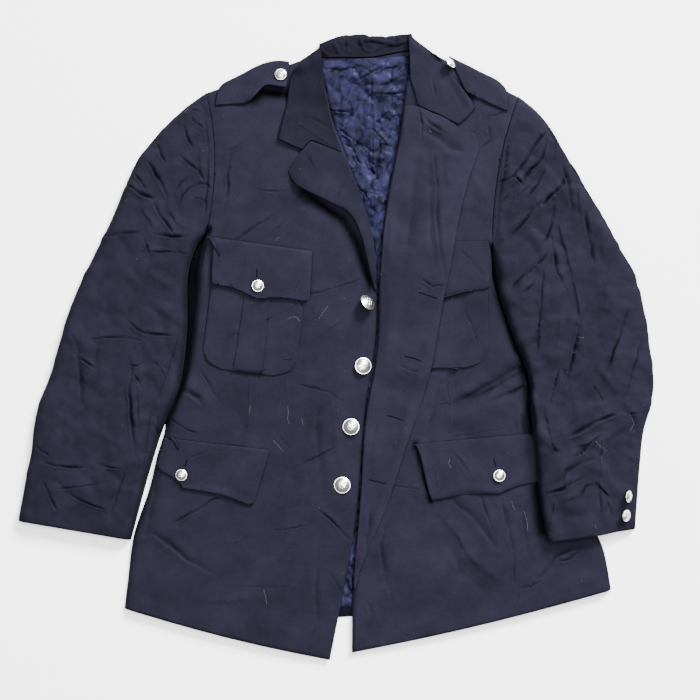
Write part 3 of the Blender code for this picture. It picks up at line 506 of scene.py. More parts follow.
SEAMS_RIGHT = lines(
    (((250, 371), (249, 395), (247, 425), (246, 446)), 1.0, -0.8, 0.5),
    (((285, 375), (286, 395), (285, 420)), 0.9, -0.5),
    (((208, 106), (211, 130), (213, 150), (213, 170), (212, 190), (210, 210), (206, 234)),
     2.0, -2.0, -0.8),
    (((158, 449), (190, 443), (230, 446), (262, 449)), 1.0, -0.4),
)
SEAMS_LEFT = lines(
    (((446, 370), (448, 405), (448, 436)), 1.0, -0.8, -0.5),
    (((436, 406), (444, 404), (452, 405)), 1.0, -0.8),
    (((518, 108), (511, 124), (505, 138), (502, 150), (501, 170), (497, 184), (494, 205), (492, 242)),
     2.2, -2.2, 0.8),
    (((513, 545), (513, 565), (513, 585)), 1.4, -1.2),
    (((517, 585), (517, 598), (517, 612)), 1.0, -1.0),
    (((417, 443), (450, 437), (480, 432), (520, 426)), 1.0, -0.4),
)
CREASES_RIGHT = lines(
    (((232, 146), (230, 165), (228, 175), (229, 190), (226, 205), (222, 220)), 2.2, -1.8),
    (((231, 153), (235, 151), (240, 146)), 1.6, -1.2),
    (((253, 192), (272, 193), (296, 193)), 1.4, -1.0),
    (((216, 258), (225, 252), (238, 242), (258, 226), (284, 212)), 2.0, -1.5),
    (((266, 240), (274, 233), (287, 222)), 1.6, -0.9),
    (((238, 246), (262, 249), (290, 252), (311, 255)), 1.1, -0.7),
    (((303, 297), (325, 292), (344, 286), (366, 279)), 1.8, -1.4),
    (((292, 383), (312, 388), (328, 392), (345, 402)), 1.8, -1.3),
    (((288, 472), (305, 463), (322, 454), (344, 443)), 1.7, -1.5),
    (((315, 507), (328, 517), (340, 529), (352, 542)), 1.8, -2.4),
    (((272, 529), (288, 529), (300, 526), (313, 526)), 1.3, -1.2),
    (((172, 524), (188, 515), (205, 506), (214, 499), (224, 495)), 2.0, -2.2),
    (((138, 533), (155, 533), (172, 545), (190, 560), (216, 574)), 4.5, -1.8),
    (((170, 417), (180, 425), (188, 430), (200, 434)), 1.7, -1.4),
    (((176, 388), (190, 393), (199, 398), (206, 408)), 4.5, -2.6),
    (((198, 366), (206, 378), (214, 392), (222, 405)), 2.2, -1.0),
    (((322, 395), (318, 430), (322, 470), (326, 505)), 9.0, -1.3),
    (((338, 390), (335, 430), (338, 470)), 8.0, 1.3),
    (((320, 560), (316, 590), (318, 615), (310, 640)), 4.5, -1.3),
    (((328, 570), (338, 585), (345, 600)), 3.0, -0.9),
    (((233, 545), (245, 538), (252, 532)), 1.5, -0.7),
    (((277, 431), (284, 440), (292, 450)), 1.4, -0.8),
    (((165, 440), (160, 470), (150, 520), (146, 545)), 6.0, -1.2),
    (((215, 300), (208, 330), (216, 340)), 6.0, -0.9),
    (((328, 333), (335, 328), (340, 322)), 1.6, -0.7),
    (((183, 595), (230, 600), (290, 590)), 9.0, 1.2),
    (((226, 585), (262, 586), (300, 587)), 1.6, -0.5),
)
CREASES_LEFT = lines(
    (((534, 360), (512, 371), (490, 385), (470, 396), (446, 410)), 11.0, -5.0),
    (((530, 366), (510, 378), (490, 389), (472, 398)), 3.0, -1.4),
    (((532, 381), (512, 392), (488, 401)), 5.0, -2.4),
    (((524, 372), (505, 383), (480, 398)), 4.0, 1.6),
    (((487, 128), (490, 142), (480, 150)), 2.4, -1.4),
    (((486, 119), (495, 117), (505, 112)), 2.0, -1.2),
    (((418, 107), (421, 120), (422, 130), (421, 142)), 1.8, -1.6),
    (((440, 138), (452, 145), (465, 148)), 6.0, -1.6),
    (((450, 498), (468, 512), (484, 530), (498, 550)), 6.0, -1.4),
    (((430, 500), (455, 530), (475, 560), (505, 585)), 12.0, 1.4),
    (((448, 538), (462, 570), (492, 596)), 11.0, -0.8),
    (((478, 490), (486, 515), (494, 536)), 2.6, -1.3),
    (((455, 530), (466, 551), (480, 566)), 5.0, 1.1),
    (((535, 580), (546, 570), (556, 555), (568, 549), (581, 545)), 3.0, -2.0),
    (((556, 561), (568, 558), (577, 550), (584, 544)), 1.8, -1.6),
    (((518, 587), (530, 586), (540, 580)), 2.2, -1.2),
    (((500, 500), (508, 530), (512, 552)), 3.4, -1.1),
    (((524, 490), (522, 520), (528, 560)), 3.4, -1.0),
    (((385, 485), (400, 487), (424, 489)), 1.8, -0.8),
    (((444, 446), (452, 458), (462, 470)), 2.0, -0.9),
    (((520, 400), (522, 430), (530, 465)), 4.5, -1.6),
    (((388, 520), (380, 545), (386, 580), (392, 600)), 5.0, -1.3),
    (((392, 625), (402, 632), (412, 640)), 2.0, -0.6),
    (((366, 600), (372, 615), (365, 632)), 3.0, -0.8),
    (((455, 130), (470, 165), (482, 210)), 9.0, 1.1),
    (((440, 380), (430, 420), (425, 440)), 5.0, -0.9),
)
CREASES_FACING = lines(
    (((433, 155), (434, 170), (436, 190)), 2.0, -1.1),
    (((436, 180), (436, 220), (439, 250), (445, 284)), 3.2, -1.3),
    (((428, 150), (430, 190), (431, 240), (438, 278)), 7.0, -0.9),
    (((420, 280), (432, 288), (446, 286)), 2.2, -1.4),
    (((396, 150), (392, 200), (388, 250), (386, 290)), 6.0, 1.0),
    (((415, 170), (412, 215), (405, 260)), 8.0, -0.9),
    (((422, 130), (438, 140), (452, 150), (464, 152)), 9.0, -2.2),
    (((418, 112), (430, 126), (446, 136)), 3.0, -1.2),
    (((446, 152), (448, 190), (452, 225)), 8.0, 0.9),
    (((400, 366), (410, 371), (420, 373)), 2.0, -0.6),
    (((418, 106), (421, 125), (421, 141)), 1.7, -1.6),
    (((372, 505), (368, 530), (366, 550)), 5.0, -1.6),
    (((382, 410), (376, 440), (374, 470)), 7.0, 0.9),
)
CREASES_SLEEVE_RIGHT = lines(
    (((205, 230), (207, 210), (209, 190), (210, 170), (210, 150), (208, 130), (205, 112)), 2.4, -1.6),
    (((196, 128), (202, 150), (203, 175), (198, 200)), 5.0, 1.0),
    (((205, 118), (198, 112), (190, 112)), 2.0, -1.2),
    (((126, 186), (131, 188), (142, 195), (156, 201)), 2.6, -2.8),
    (((135, 175), (141, 183), (148, 191)), 2.2, -1.6),
    (((148, 162), (155, 172), (163, 186), (169, 199)), 2.6, -2.4),
    (((158, 145), (161, 155), (167, 165)), 2.2, -1.7),
    (((184, 127), (188, 138), (195, 153)), 2.2, -1.8),
    (((191, 120), (198, 126), (206, 131)), 1.8, -1.4),
    (((180, 157), (190, 165), (198, 172), (208, 187)), 2.2, -1.6),
    (((175, 197), (181, 187), (191, 177)), 2.0, -1.5),
    (((179, 209), (184, 198), (191, 190), (200, 186), (209, 186), (212, 193)), 2.0, -1.9),
    (((194, 199), (202, 201), (210, 205)), 1.6, -1.1),
    (((155, 203), (161, 217), (170, 228), (177, 238)), 2.6, -2.0),
    (((104, 239), (125, 235), (144, 233)), 2.4, -1.7),
    (((154, 235), (165, 237), (180, 238), (192, 238)), 2.4, -2.6),
    (((146, 238), (148, 247), (151, 258)), 2.0, -1.5),
    (((148, 254), (168, 253), (190, 255)), 1.8, -1.6),
    (((143, 205), (152, 222), (158, 232)), 5.0, 1.5),
    (((170, 205), (178, 222), (188, 231)), 4.5, 1.5),
    (((130, 321), (138, 330), (147, 334), (160, 335), (178, 337)), 2.0, -2.0),
    (((88, 341), (108, 338), (130, 338), (146, 342)), 1.8, -1.3),
    (((78, 358), (88, 362), (98, 370)), 2.2, -1.8),
    (((73, 330), (80, 350), (82, 372), (83, 400), (89, 412)), 4.5, -1.5),
    (((132, 356), (133, 375), (131, 395), (132, 415), (135, 440), (138, 463)), 2.6, -2.6),
    (((141, 360), (141, 400), (143, 440)), 4.0, 1.3),
    (((134, 374), (140, 380), (143, 388)), 1.6, -1.3),
    (((131, 365), (140, 366), (145, 362)), 1.6, -1.3),
    (((157, 362), (163, 371), (166, 376)), 1.4, -0.9),
    (((44, 462), (60, 466), (89, 467)), 2.0, -2.0),
    (((98, 464), (110, 467), (122, 468)), 1.8, -1.2),
    (((45, 481), (52, 497), (59, 510)), 2.0, -1.7),
    (((55, 488), (78, 487), (102, 483)), 1.7, -1.1),
    (((66, 491), (82, 500), (96, 506), (114, 511)), 1.8, -1.5),
    (((127, 470), (120, 488), (112, 513)), 1.8, -1.6),
    (((183, 320), (178, 340), (168, 375), (160, 395), (152, 410), (149, 432), (146, 458), (143, 482)),
     1.1, -1.1, 0.4),
    (((38, 446), (44, 452), (52, 455)), 2.2, -1.1),
    (((160, 415), (158, 428), (160, 438)), 4.0, -2.0),
    (((100, 300), (104, 330), (103, 380), (108, 440)), 12.0, 1.2),
    (((60, 380), (58, 420), (52, 455)), 12.0, 0.9),
)
CREASES_SLEEVE_LEFT = lines(
    (((519, 114), (514, 126), (508, 140), (505, 152), (504, 170), (500, 186), (497, 206), (495, 240)),
     2.4, -1.8),
    (((500, 205), (508, 190), (520, 176)), 4.0, 1.4),
    (((496, 185), (505, 182), (512, 178), (517, 171)), 2.4, -2.2),
    (((511, 177), (516, 182), (522, 187)), 2.0, -1.8),
    (((515, 177), (524, 162), (534, 147), (546, 131)), 2.4, -2.5),
    (((519, 187), (530, 172), (540, 160), (546, 144)), 2.6, -2.4),
    (((512, 201), (527, 185), (538, 172), (545, 160), (548, 139)), 4.2, 2.2),
    (((525, 201), (535, 186), (544, 171)), 2.0, -1.6),
    (((539, 208), (550, 197), (561, 185), (564, 177)), 2.6, -3.0),
    (((504, 244), (520, 226), (541, 201)), 2.6, -2.1),
    (((545, 127), (555, 145), (553, 162)), 3.4, 2.0),
    (((567, 161), (575, 175), (577, 195), (580, 217)), 4.6, 2.2),
    (((560, 165), (566, 185), (569, 210)), 3.0, -1.9),
    (((582, 212), (587, 240), (591, 264)), 2.8, -2.2),
    (((552, 203), (550, 225), (540, 249)), 2.4, -2.0),
    (((507, 292), (525, 275), (548, 254)), 2.6, -2.2),
    (((519, 297), (526, 290), (534, 282)), 2.0, -1.5),
    (((541, 268), (539, 295), (537, 325), (535, 362)), 2.0, -1.7, -0.5),
    (((548, 233), (556, 275), (563, 292)), 2.4, -1.8),
    (((556, 218), (562, 245), (574, 288), (578, 310), (579, 334)), 4.6, 2.2),
    (((583, 305), (577, 330), (571, 355), (566, 375), (560, 393)), 3.2, -2.6),
    (((560, 300), (558, 330), (556, 355)), 8.0, 1.5),
    (((626, 307), (617, 335), (608, 360), (602, 376)), 2.2, -2.0),
    (((641, 335), (630, 370), (620, 402)), 2.6, -1.3),
    (((557, 368), (552, 390), (548, 407)), 2.0, -1.9),
    (((590, 384), (595, 391), (601, 402)), 1.8, -1.1),
    (((540, 408), (545, 425), (547, 441), (553, 450), (562, 453)), 2.0, -2.2),
    (((564, 437), (580, 430), (594, 422), (616, 413)), 3.2, -3.0),
    (((570, 446), (584, 443), (598, 434)), 3.4, 1.8),
    (((570, 457), (582, 452), (590, 441), (600, 434)), 2.2, -1.9),
    (((622, 414), (632, 413), (642, 414)), 1.6, -1.0),
    (((556, 484), (564, 470), (576, 464), (594, 458)), 3.6, -2.4),
    (((542, 494), (560, 488), (570, 481), (584, 476)), 2.4, -2.4),
    (((574, 497), (583, 486), (595, 484), (608, 498)), 2.0, -2.2),
    (((560, 500), (575, 492), (590, 496)), 6.0, 1.4),
    (((602, 435), (601, 455), (599, 476)), 2.6, 1.7),
    (((604, 500), (608, 507), (611, 515)), 1.8, -1.1),
    (((553, 497), (550, 515), (548, 530)), 2.6, 1.4),
    (((597, 478), (599, 510), (599, 535)), 1.8, -1.3, -0.6),
    (((600, 230), (606, 280), (604, 320)), 10.0, 1.3),
    (((628, 420), (632, 450), (630, 480)), 9.0, 1.0),
)
PLEATS_RIGHT = lines(
    (((222, 345), (232, 338), (240, 330)), 2.6, -0.9),
    (((262, 322), (275, 318), (300, 305)), 1.6, -0.8),
)
PLEATS_LEFT = lines(
    (((462, 310), (470, 325), (476, 345)), 2.4, -0.8),
)
CREASES_FLAPS = lines(
    (((222, 257), (230, 250), (240, 242)), 2.4, -0.6),
    (((183, 461), (205, 452), (228, 449)), 2.4, -0.8),
    (((448, 447), (458, 460), (472, 478)), 2.2, -1.0),
    (((440, 452), (436, 470), (438, 488)), 3.0, 0.8),
    (((455, 250), (470, 262), (484, 280)), 3.0, -0.8),
)
CREASES_LAPEL = lines(
    (((306, 153), (311, 163), (315, 173)), 1.8, -1.3),
    (((336, 199), (340, 192), (346, 183)), 1.8, -1.1),
    (((300, 118), (315, 122), (330, 131), (341, 153)), 1.6, -1.0),
    (((350, 225), (362, 250), (370, 280)), 4.0, 0.9),
)
CREASES_COLLAR = lines(
    (((297, 126), (318, 140), (341, 153)), 1.4, -1.2, 0.8),
    (((300, 119), (315, 121), (330, 130), (338, 147)), 3.4, -1.0),
    (((300, 100), (312, 92), (325, 84)), 6.0, 0.9),
    (((431, 75), (436, 95), (430, 110)), 4.0, -1.3),
    (((449, 69), (452, 71), (456, 73)), 1.0, -1.0),
)
CREASES_STAND = lines(
    (((321, 45), (326, 52), (331, 60)), 2.6, -2.0),
    (((333, 43), (336, 49), (339, 56)), 2.0, -1.7),
    (((346, 36), (347, 44), (347, 54)), 2.0, -1.6),
    (((358, 37), (362, 46), (364, 52), (372, 54)), 2.0, -1.9),
    (((360, 41), (378, 42), (394, 46), (409, 41)), 2.2, -2.2),
    (((374, 52), (386, 46), (400, 44)), 2.0, -1.4),
)
CREASES_LINING = lines(
    (((372, 55), (371, 95), (373, 130), (372, 165), (374, 215)), 1.6, -1.6),
    (((323, 69), (340, 72), (355, 70), (363, 65)), 2.0, -2.4),
    (((342, 90), (360, 80), (375, 72), (392, 61)), 1.6, -1.8),
    (((378, 74), (387, 70), (398, 68), (410, 67)), 1.8, -2.4),
    (((383, 87), (398, 80), (408, 75)), 1.6, -1.9),
    (((348, 121), (358, 108), (371, 96)), 1.6, -1.9),
    (((328, 112), (340, 112), (352, 113)), 1.8, -2.6),
    (((334, 126), (345, 134), (353, 141), (366, 152)), 2.0, -2.4),
    (((337, 131), (346, 139), (352, 148)), 1.4, -1.5),
    (((352, 148), (357, 160), (363, 166)), 1.6, -1.7),
    (((368, 97), (380, 95), (395, 95), (409, 94)), 1.7, -2.0),
    (((373, 127), (385, 115), (395, 105), (402, 97)), 1.5, -1.9),
    (((372, 131), (382, 140), (389, 152)), 1.6, -1.8),
    (((388, 117), (398, 117), (401, 126), (396, 134)), 1.5, -1.5),
    (((367, 150), (370, 167), (377, 183)), 1.7, -2.3),
    (((377, 183), (376, 172), (378, 160)), 1.4, -1.6),
    (((380, 197), (386, 204), (390, 213)), 1.7, -2.6),
    (((355, 184), (364, 193), (371, 205)), 1.5, -1.5),
    (((345, 160), (352, 168), (360, 166)), 3.0, 1.8),
    (((380, 130), (382, 150), (380, 175)), 5.0, 1.4),
    (((352, 560), (353, 580), (352, 600)), 2.0, -1.2),
)
CREASES_BACK = lines(
    (((336, 90), (337, 300), (336, 600)), 1.2, -0.6),
    (((240, 330), (300, 345), (360, 340)), 4.0, -0.5),
    (((400, 430), (440, 445), (480, 440)), 4.0, -0.5),
    (((210, 500), (225, 540), (222, 590)), 5.0, -0.5),
)

# Edges that stand off what they lie on, or that are pressed down by what lies over them.

LIFT_LAPEL = lines(
    (((290, 178), (315, 195), (336, 208), (351, 221), (361, 236), (369, 259), (375, 284)), 18.0, 8.5),
    (((279, 141), (290, 148), (303, 153)), 9.0, 2.6),
)
LIFT_COLLAR_RIGHT = lines(
    (((285, 110), (280, 130), (279, 142), (290, 149), (306, 154)), 8.0, 3.0),
)
PRESS_RIGHT = lines(
    (((296, 196), (322, 212), (340, 226), (352, 245), (361, 264), (368, 284)), 9.0, -1.6),
    (((250, 101), (262, 95), (272, 94), (298, 96)), 10.0, -4.0),
    (((190, 245), (184, 300), (182, 360), (176, 400)), 9.0, -1.6),
)
LIFT_FLAPS = lines(
    (((214, 286), (240, 294), (258, 301), (285, 300), (308, 306)), 5.0, 1.2),
    (((155, 470), (180, 488), (225, 492), (254, 507)), 6.0, 1.8),
    (((418, 441), (425, 475), (432, 501)), 5.0, 1.8),
    (((432, 500), (465, 487), (500, 490), (538, 466)), 5.0, 1.4),
)
LIFT_STRAP = lines(
    (((246, 103), (258, 96), (267, 88), (296, 92)), 8.0, 4.5),
)
LIFT_FACING = lines(
    (((482, 138), (476, 165), (463, 203), (453, 240), (447, 290)), 7.0, 1.8),
    (((447, 280), (430, 330), (418, 375), (396, 458), (366, 545), (352, 592)), 5.0, 1.2),
    (((436, 110), (446, 117), (459, 127), (470, 134), (482, 140)), 5.0, 0.9),
)
LIFT_COLLAR_LEFT = lines(
    (((448, 66), (456, 84), (464, 99), (473, 112), (460, 128)), 6.0, 2.0),
)


# Where a panel's outline is drawn outwards, under what lies over it: near (u, v), by (du, dv).

Pull = namedtuple("Pull", "u v du dv reach")
PULLS = {
    "collar_back": (
        Pull(322, 52, -5, 0, 8), Pull(323, 42, -4, 0, 7),
        Pull(409, 46, 5, 0, 8), Pull(409, 38, 4, 0, 7)),
    "pocket_breast_right": (
        Pull(306, 284, -9, 0, 12), Pull(305, 296, -6, 0, 9)),
    "back": (
        Pull(196, 255, -7, 0, 18), Pull(190, 290, -8, 0, 18), Pull(187, 325, -7, 0, 18),
        Pull(184, 358, -7, 0, 18), Pull(179, 388, -7, 0, 16), Pull(172, 412, -7, 0, 12),
        Pull(492, 252, 7, 0, 14), Pull(496, 275, 7, 0, 14), Pull(503, 300, 8, 0, 14),
        Pull(508, 322, 9, 0, 16), Pull(516, 345, 9, 0, 16), Pull(523, 368, 9, 0, 16),
        Pull(527, 390, 9, 0, 16), Pull(529, 412, 6, 0, 14)),
}


# Painted shade where layers lie so close that the cloth looks nearly black: lines and their width in
# millimetres.

Gap = namedtuple("Gap", "line width")
DEEP = {
    "back": (
        Gap(((200, 240), (192, 270), (188, 300), (184, 340), (180, 380), (170, 415), (158, 440)), 12),
        Gap(((490, 240), (500, 300), (520, 360), (530, 420)), 12)),
    "lining": (
        Gap(((379, 285), (374, 320), (369, 360), (362, 410), (359, 480), (357, 540)), 7),
        Gap(((322, 56), (322, 76), (336, 130), (350, 175), (368, 225), (374, 290)), 3),
        Gap(((409, 45), (408, 95), (400, 140), (392, 190), (386, 240), (380, 290)), 3)),
    "front_right": (
        Gap(((303, 193), (325, 208), (343, 221), (356, 242), (364, 264), (371, 287)), 6),
        Gap(((254, 101), (263, 94), (292, 95)), 9)),
    "front_left": (
        Gap(((498, 295), (520, 355), (528, 400), (534, 465), (542, 530)), 9),
        Gap(((458, 90), (470, 100)), 5),
        Gap(((415, 443), (430, 500)), 4)),
    "collar_back": (
        Gap(((409, 30), (409, 60)), 5),
        Gap(((322, 40), (322, 62)), 5)),
}


def deep_shade(panel, x, y):
    """The painted shade of each point for how deep it lies in a gap, from 0 to 1."""
    shade = np.zeros(len(x))
    for dark in DEEP.get(panel.node, ()):
        away = follow(dark.line, x, y)[0]
        shade = np.maximum(shade, bell(away, dark.width))
    return shade


PULLED_RIM = 12.0


def pull_outline(panel, x, y, rim):
    """How far each point moves sideways, in millimetres."""
    moved = np.zeros((len(x), 2))
    near_rim = bell(rim, PULLED_RIM)
    for pull in PULLS.get(panel.node, ()):
        at_x, at_y = over(pull.u, pull.v)
        share = near_rim * np.exp(-(((x - at_x) ** 2 + (y - at_y) ** 2) / (pull.reach * SQUARE) ** 2))
        moved += share[:, None] * np.array((pull.du * SQUARE, -pull.dv * SQUARE))
    return moved


# Cloth panels. side is 1 where the panel is cut from its upper face and -1 from its lower one.
# waves and pull say how uneven it is and how far its rim is pressed down. flat is its cut's width
# and length in metres, and share how much of that rectangle it fills. depth deepens its creases and
# their painted shade. The field after depth is painted light and shade: how much lighter or darker
# the panel is drawn for the light it gets. crumple is the height of its facets, facet their size,
# valleys how dark the painted shade in the lines between them is. merge and thinnest tidy its outer
# face.

Panel = namedtuple("Panel", "node side levels wall creases lifts waves pull flat share rests_on"
                   " depth tone crumple facet valleys merge thinnest",
                   defaults=(1.0, 1.0, 0, 14, 0, 0.01, 1.3))
RIM_ROUND = 1.8
RIM_REACH = 40.0
RIM_CALM = 9.0
CALM_SHARE = 0.65
LIFT_FADE = 6
CREASE_SHADE_STRENGTH = 0.43
FACET_FLOOR = 0.25
TURNED_AWAY = 0.9


def lift_height(lifts, x, y):
    """How far a panel's edges stand off or are pressed down, in millimetres."""
    total = np.zeros(len(x))
    for lift in lifts:
        gap, run, side = follow(lift.line, x, y)
        total += lift.rise * bell(gap, lift.width) * (1 - np.abs(2 * run - 1) ** LIFT_FADE)
    return total


def keep_above(places, lowest):
    """Lets no point sink below a height in metres."""
    places[:, 2] = np.maximum(places[:, 2], lowest)


def dress(panel, material):
    """Cuts a panel from its solid again, creases it and gives it its wall."""
    skin = outer_face(panel.node, panel.side, panel.merge, panel.thinnest)
    piece = new_piece(panel.node + "_cloth", skin)
    make_finer(piece, panel.levels)
    mesh = piece.data
    if panel.creases:
        refine_near(mesh, panel.creases)
    places = coordinates(mesh)
    x, y = places[:, 0] / MM, places[:, 1] / MM
    rim = rim_distance(mesh, RIM_REACH)
    folds, painted_shade = crease_height(panel.creases, x + layered(WANDER_X, x, y),
                                   y + layered(WANDER_Y, x, y))
    folds *= panel.depth
    # How dark the painted shade in the troughs is.
    painted_shade *= CREASE_SHADE_STRENGTH * panel.depth
    inside = 1 - bell(rim, RIM_CALM)
    uneven = panel.waves * layered(WAVES, x, y)
    if panel.crumple:
        facets, valleys = crumples(x, y, panel.facet)
        uneven = uneven + panel.crumple * np.maximum(facets + FACET_FLOOR, 0)
        # Painted shade in the crumple valleys.
        painted_shade = np.maximum(painted_shade, panel.valleys * valleys)
    rise = folds * (1 - CALM_SHARE + CALM_SHARE * inside) + uneven * inside
    rise += lift_height(panel.lifts, x, y)
    rise -= panel.pull * bell(rim, RIM_ROUND)
    sides = coordinates(mesh, "normal")
    places += sides * rise[:, None] * MM
    places[:, :2] += pull_outline(panel, x, y, rim) * MM
    keep_above(places, np.where(sides[:, 2] > 0, panel.wall, 0) * MM)
    mesh.vertices.foreach_set("co", places.ravel())
    # Painted shade from the creases, the crumple valleys and the deep gaps, kept on the points.
    shade = np.clip(np.maximum(painted_shade, deep_shade(panel, x, y)), 0, 1)
    mesh.attributes.new("painted_shade", "FLOAT", "POINT").data.foreach_set("value", shade)
    # Painted light and shade: the panel's set brightness, darker where the cloth tilts away from
    # straight up.
    tone = panel.tone * (1 - TURNED_AWAY * (1 - np.abs(sides[:, 2])))
    mesh.attributes.new("tone", "FLOAT", "POINT").data.foreach_set("value", tone)
    mesh.update()
    wall = piece.modifiers.new("wall", "SOLIDIFY")
    wall.thickness = panel.wall * MM
    wall.offset = -1.0
    wall.use_even_offset = False
    apply_modifiers(piece)
    places = coordinates(piece.data)
    keep_above(places, 0)
    piece.data.vertices.foreach_set("co", places.ravel())
    piece.data.shade_smooth()
    piece.data.materials.clear()
    piece.data.materials.append(material)
    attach(piece, "root")
    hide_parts(panel.node)
    return piece


PANELS = (
    Panel("back", -1, 2, 1.4, CREASES_BACK, (), 0.0, 0.0, (0.66, 0.78), 0.69, ("lining",)),
    Panel("lining", 1, 3, 0.8, CREASES_LINING, (), 0.3, 0.2, (0.15, 0.75), 0.475, ("back",),
          crumple=5.4, facet=14, valleys=0.85),
    Panel("front_right", 1, 2, 1.4, SEAMS_RIGHT + CREASES_RIGHT, PRESS_RIGHT, 0.8, 0.5,
          (0.35, 0.82), 0.67, ("back", "lining"), 1.0, 0.97, 1.6, 40, merge=3.2),
    Panel("front_left", 1, 2, 1.4, SEAMS_LEFT + CREASES_LEFT, (), 0.8, 0.5,
          (0.35, 0.82), 0.585, ("back", "lining"), 1.15, 1.06, 2.2, 40, merge=3.2),
    Panel("facing_left", 1, 2, 1.4, CREASES_FACING, LIFT_FACING, 0.6, 0.3, (0.17, 0.66), 0.41,
          ("front_left",), 1.1, 1.15, 1.4, 36),
    Panel("lapel_right", 1, 3, 1.4, CREASES_LAPEL, LIFT_LAPEL, 0.5, 0.3, (0.12, 0.20), 0.32,
          ("front_right",), 1.0, 0.78),
    Panel("collar_right", 1, 3, 1.8, CREASES_COLLAR, LIFT_COLLAR_RIGHT, 0.5, 0.3, (0.09, 0.15), 0.52,
          ("front_right",), 0.7, 0.6),
    Panel("collar_left", 1, 3, 1.8, CREASES_COLLAR, LIFT_COLLAR_LEFT, 0.5, 0.3, (0.12, 0.13), 0.75,
          ("front_left",), 0.9, 0.95),
    Panel("collar_back", 1, 3, 1.8, CREASES_STAND, (), 0.3, 0.3, (0.13, 0.095), 0.92, ("lining",),
          1.2, 0.7, 2.0, 12),
    Panel("topsleeve_right", 1, 2, 1.4, CREASES_SLEEVE_RIGHT, (), 0.9, 0.5, (0.27, 0.61), 0.60,
          ("undersleeve_right",), 1.25, 0.9, 3.6, 30, 0.12),
    Panel("undersleeve_right", -1, 2, 1.4, (), (), 0.0, 0.0, (0.27, 0.61), 0.51, ("front_right",)),
    Panel("topsleeve_left", 1, 2, 1.4, CREASES_SLEEVE_LEFT, (), 0.9, 0.5, (0.25, 0.63), 0.65,
          ("undersleeve_left",), 1.5, 0.94, 4.6, 30, 0.15),
    Panel("undersleeve_left", -1, 2, 1.4, (), (), 0.0, 0.0, (0.24, 0.61), 0.59, ("front_left",)),
    Panel("pocket_breast_right", 1, 3, 1.2, PLEATS_RIGHT, (), 0.5, 0.4, (0.15, 0.18), 0.79,
          ("front_right",)),
    Panel("pocket_breast_left", 1, 3, 1.2, PLEATS_LEFT, (), 0.5, 0.4, (0.13, 0.17), 0.91,
          ("front_left",), 1.0, 1.02),
    Panel("flap_breast_right", 1, 3, 1.8, CREASES_FLAPS, LIFT_FLAPS, 0.4, 0.4, (0.145, 0.085), 0.80,
          ("pocket_breast_right",), 0.6, thinnest=3.0),
    Panel("flap_breast_left", 1, 3, 1.8, CREASES_FLAPS, LIFT_FLAPS, 0.4, 0.4, (0.14, 0.08), 0.85,
          ("pocket_breast_left",), 0.6, thinnest=3.0),
    Panel("flap_waist_right", 1, 3, 1.8, CREASES_FLAPS, LIFT_FLAPS, 0.5, 0.4, (0.155, 0.09), 0.68,
          ("front_right",), 0.8, thinnest=3.0),
    Panel("flap_waist_left", 1, 3, 1.8, CREASES_FLAPS, LIFT_FLAPS, 0.5, 0.4, (0.175, 0.09), 0.76,
          ("front_left",), 0.8, 1.05, thinnest=3.0),
    Panel("strap_right", 1, 3, 1.8, (), LIFT_STRAP, 0.3, 0.3, (0.10, 0.06), 0.63, ("front_right",)),
    Panel("strap_left", 1, 3, 1.8, (), (), 0.3, 0.3, (0.08, 0.06), 0.58, ("front_left",)),
)


# Stitches, buttonholes and lint. Each is a chain of small beads laid on the cloth.

EDGE_STITCHES = (
    ((443, 292), (430, 330), (421, 362), (415, 385), (404, 430), (396, 458), (385, 495), (375, 523),
     (366, 545), (357, 568), (353, 590)),
    ((292, 178), (316, 193), (337, 206), (352, 219), (362, 234), (370, 257), (375, 280)),
    ((217, 285), (240, 292), (258, 298), (285, 297), (305, 303)),
    ((160, 469), (181, 485), (225, 489), (252, 503), (257, 497), (268, 452)),
    ((419, 445), (427, 480), (432, 497), (465, 484), (500, 486), (534, 466)),
    ((217, 288), (205, 341), (212, 357), (232, 365), (278, 371), (296, 355), (304, 308)),
    ((448, 302), (432, 364), (456, 364), (480, 360), (490, 346), (490, 294)),
)
BUTTONHOLES = (
    ((418, 293), (427, 296), (436, 299)),
    ((404, 356), (413, 358), (421, 361)),
    ((387, 415), (395, 417), (403, 420)),
    ((369, 479), (377, 481), (385, 483)),
    ((258, 270), (258, 274), (258, 278)),
    ((188, 459), (187, 463), (186, 466)),
    ((493, 458), (494, 462), (495, 466)),
)
LINT = (
    ((185, 115), (188, 112), (191, 111)),
    ((276, 242), (278, 239), (280, 238)),
    ((319, 319), (324, 312), (328, 307)),
    ((288, 319), (294, 317), (298, 318), (300, 322)),
    ((238, 201), (240, 202)),
    ((204, 152), (206, 153)),
    ((127, 202), (129, 201)),
    ((138, 259), (140, 261)),
    ((251, 405), (250, 413)),
    ((288, 406), (289, 412), (288, 418), (290, 424)),
    ((302, 418), (303, 424)),
    ((449, 458), (448, 462), (450, 467)),
    ((551, 196), (554, 198)),
    ((559, 186), (561, 188)),
    ((532, 230), (534, 232)),
    ((511, 500), (512, 505), (514, 509)),
    ((594, 441), (599, 446), (605, 450)),
    ((600, 455), (601, 462)),
    ((626, 412), (630, 418), (632, 424), (628, 430)),
    ((592, 523), (594, 527)),
    ((523, 510), (526, 520), (527, 530)),
    ((264, 588), (266, 596), (267, 603)),
    ((576, 337), (582, 338)),
    ((429, 132), (431, 134)),
    ((274, 440), (278, 444), (283, 450)),
    ((318, 506), (320, 508)),
)
SPECKS = 150
Bead = namedtuple("Bead", "pitch length width")
STITCH = Bead(2.9, 2.1, 0.3)
HOLE_THREAD = Bead(0.6, 2.2, 0.5)
FLUFF = Bead(0.7, 1.0, 0.24)
BEAD_SUNK = 0.17
RAY_START = 0.2


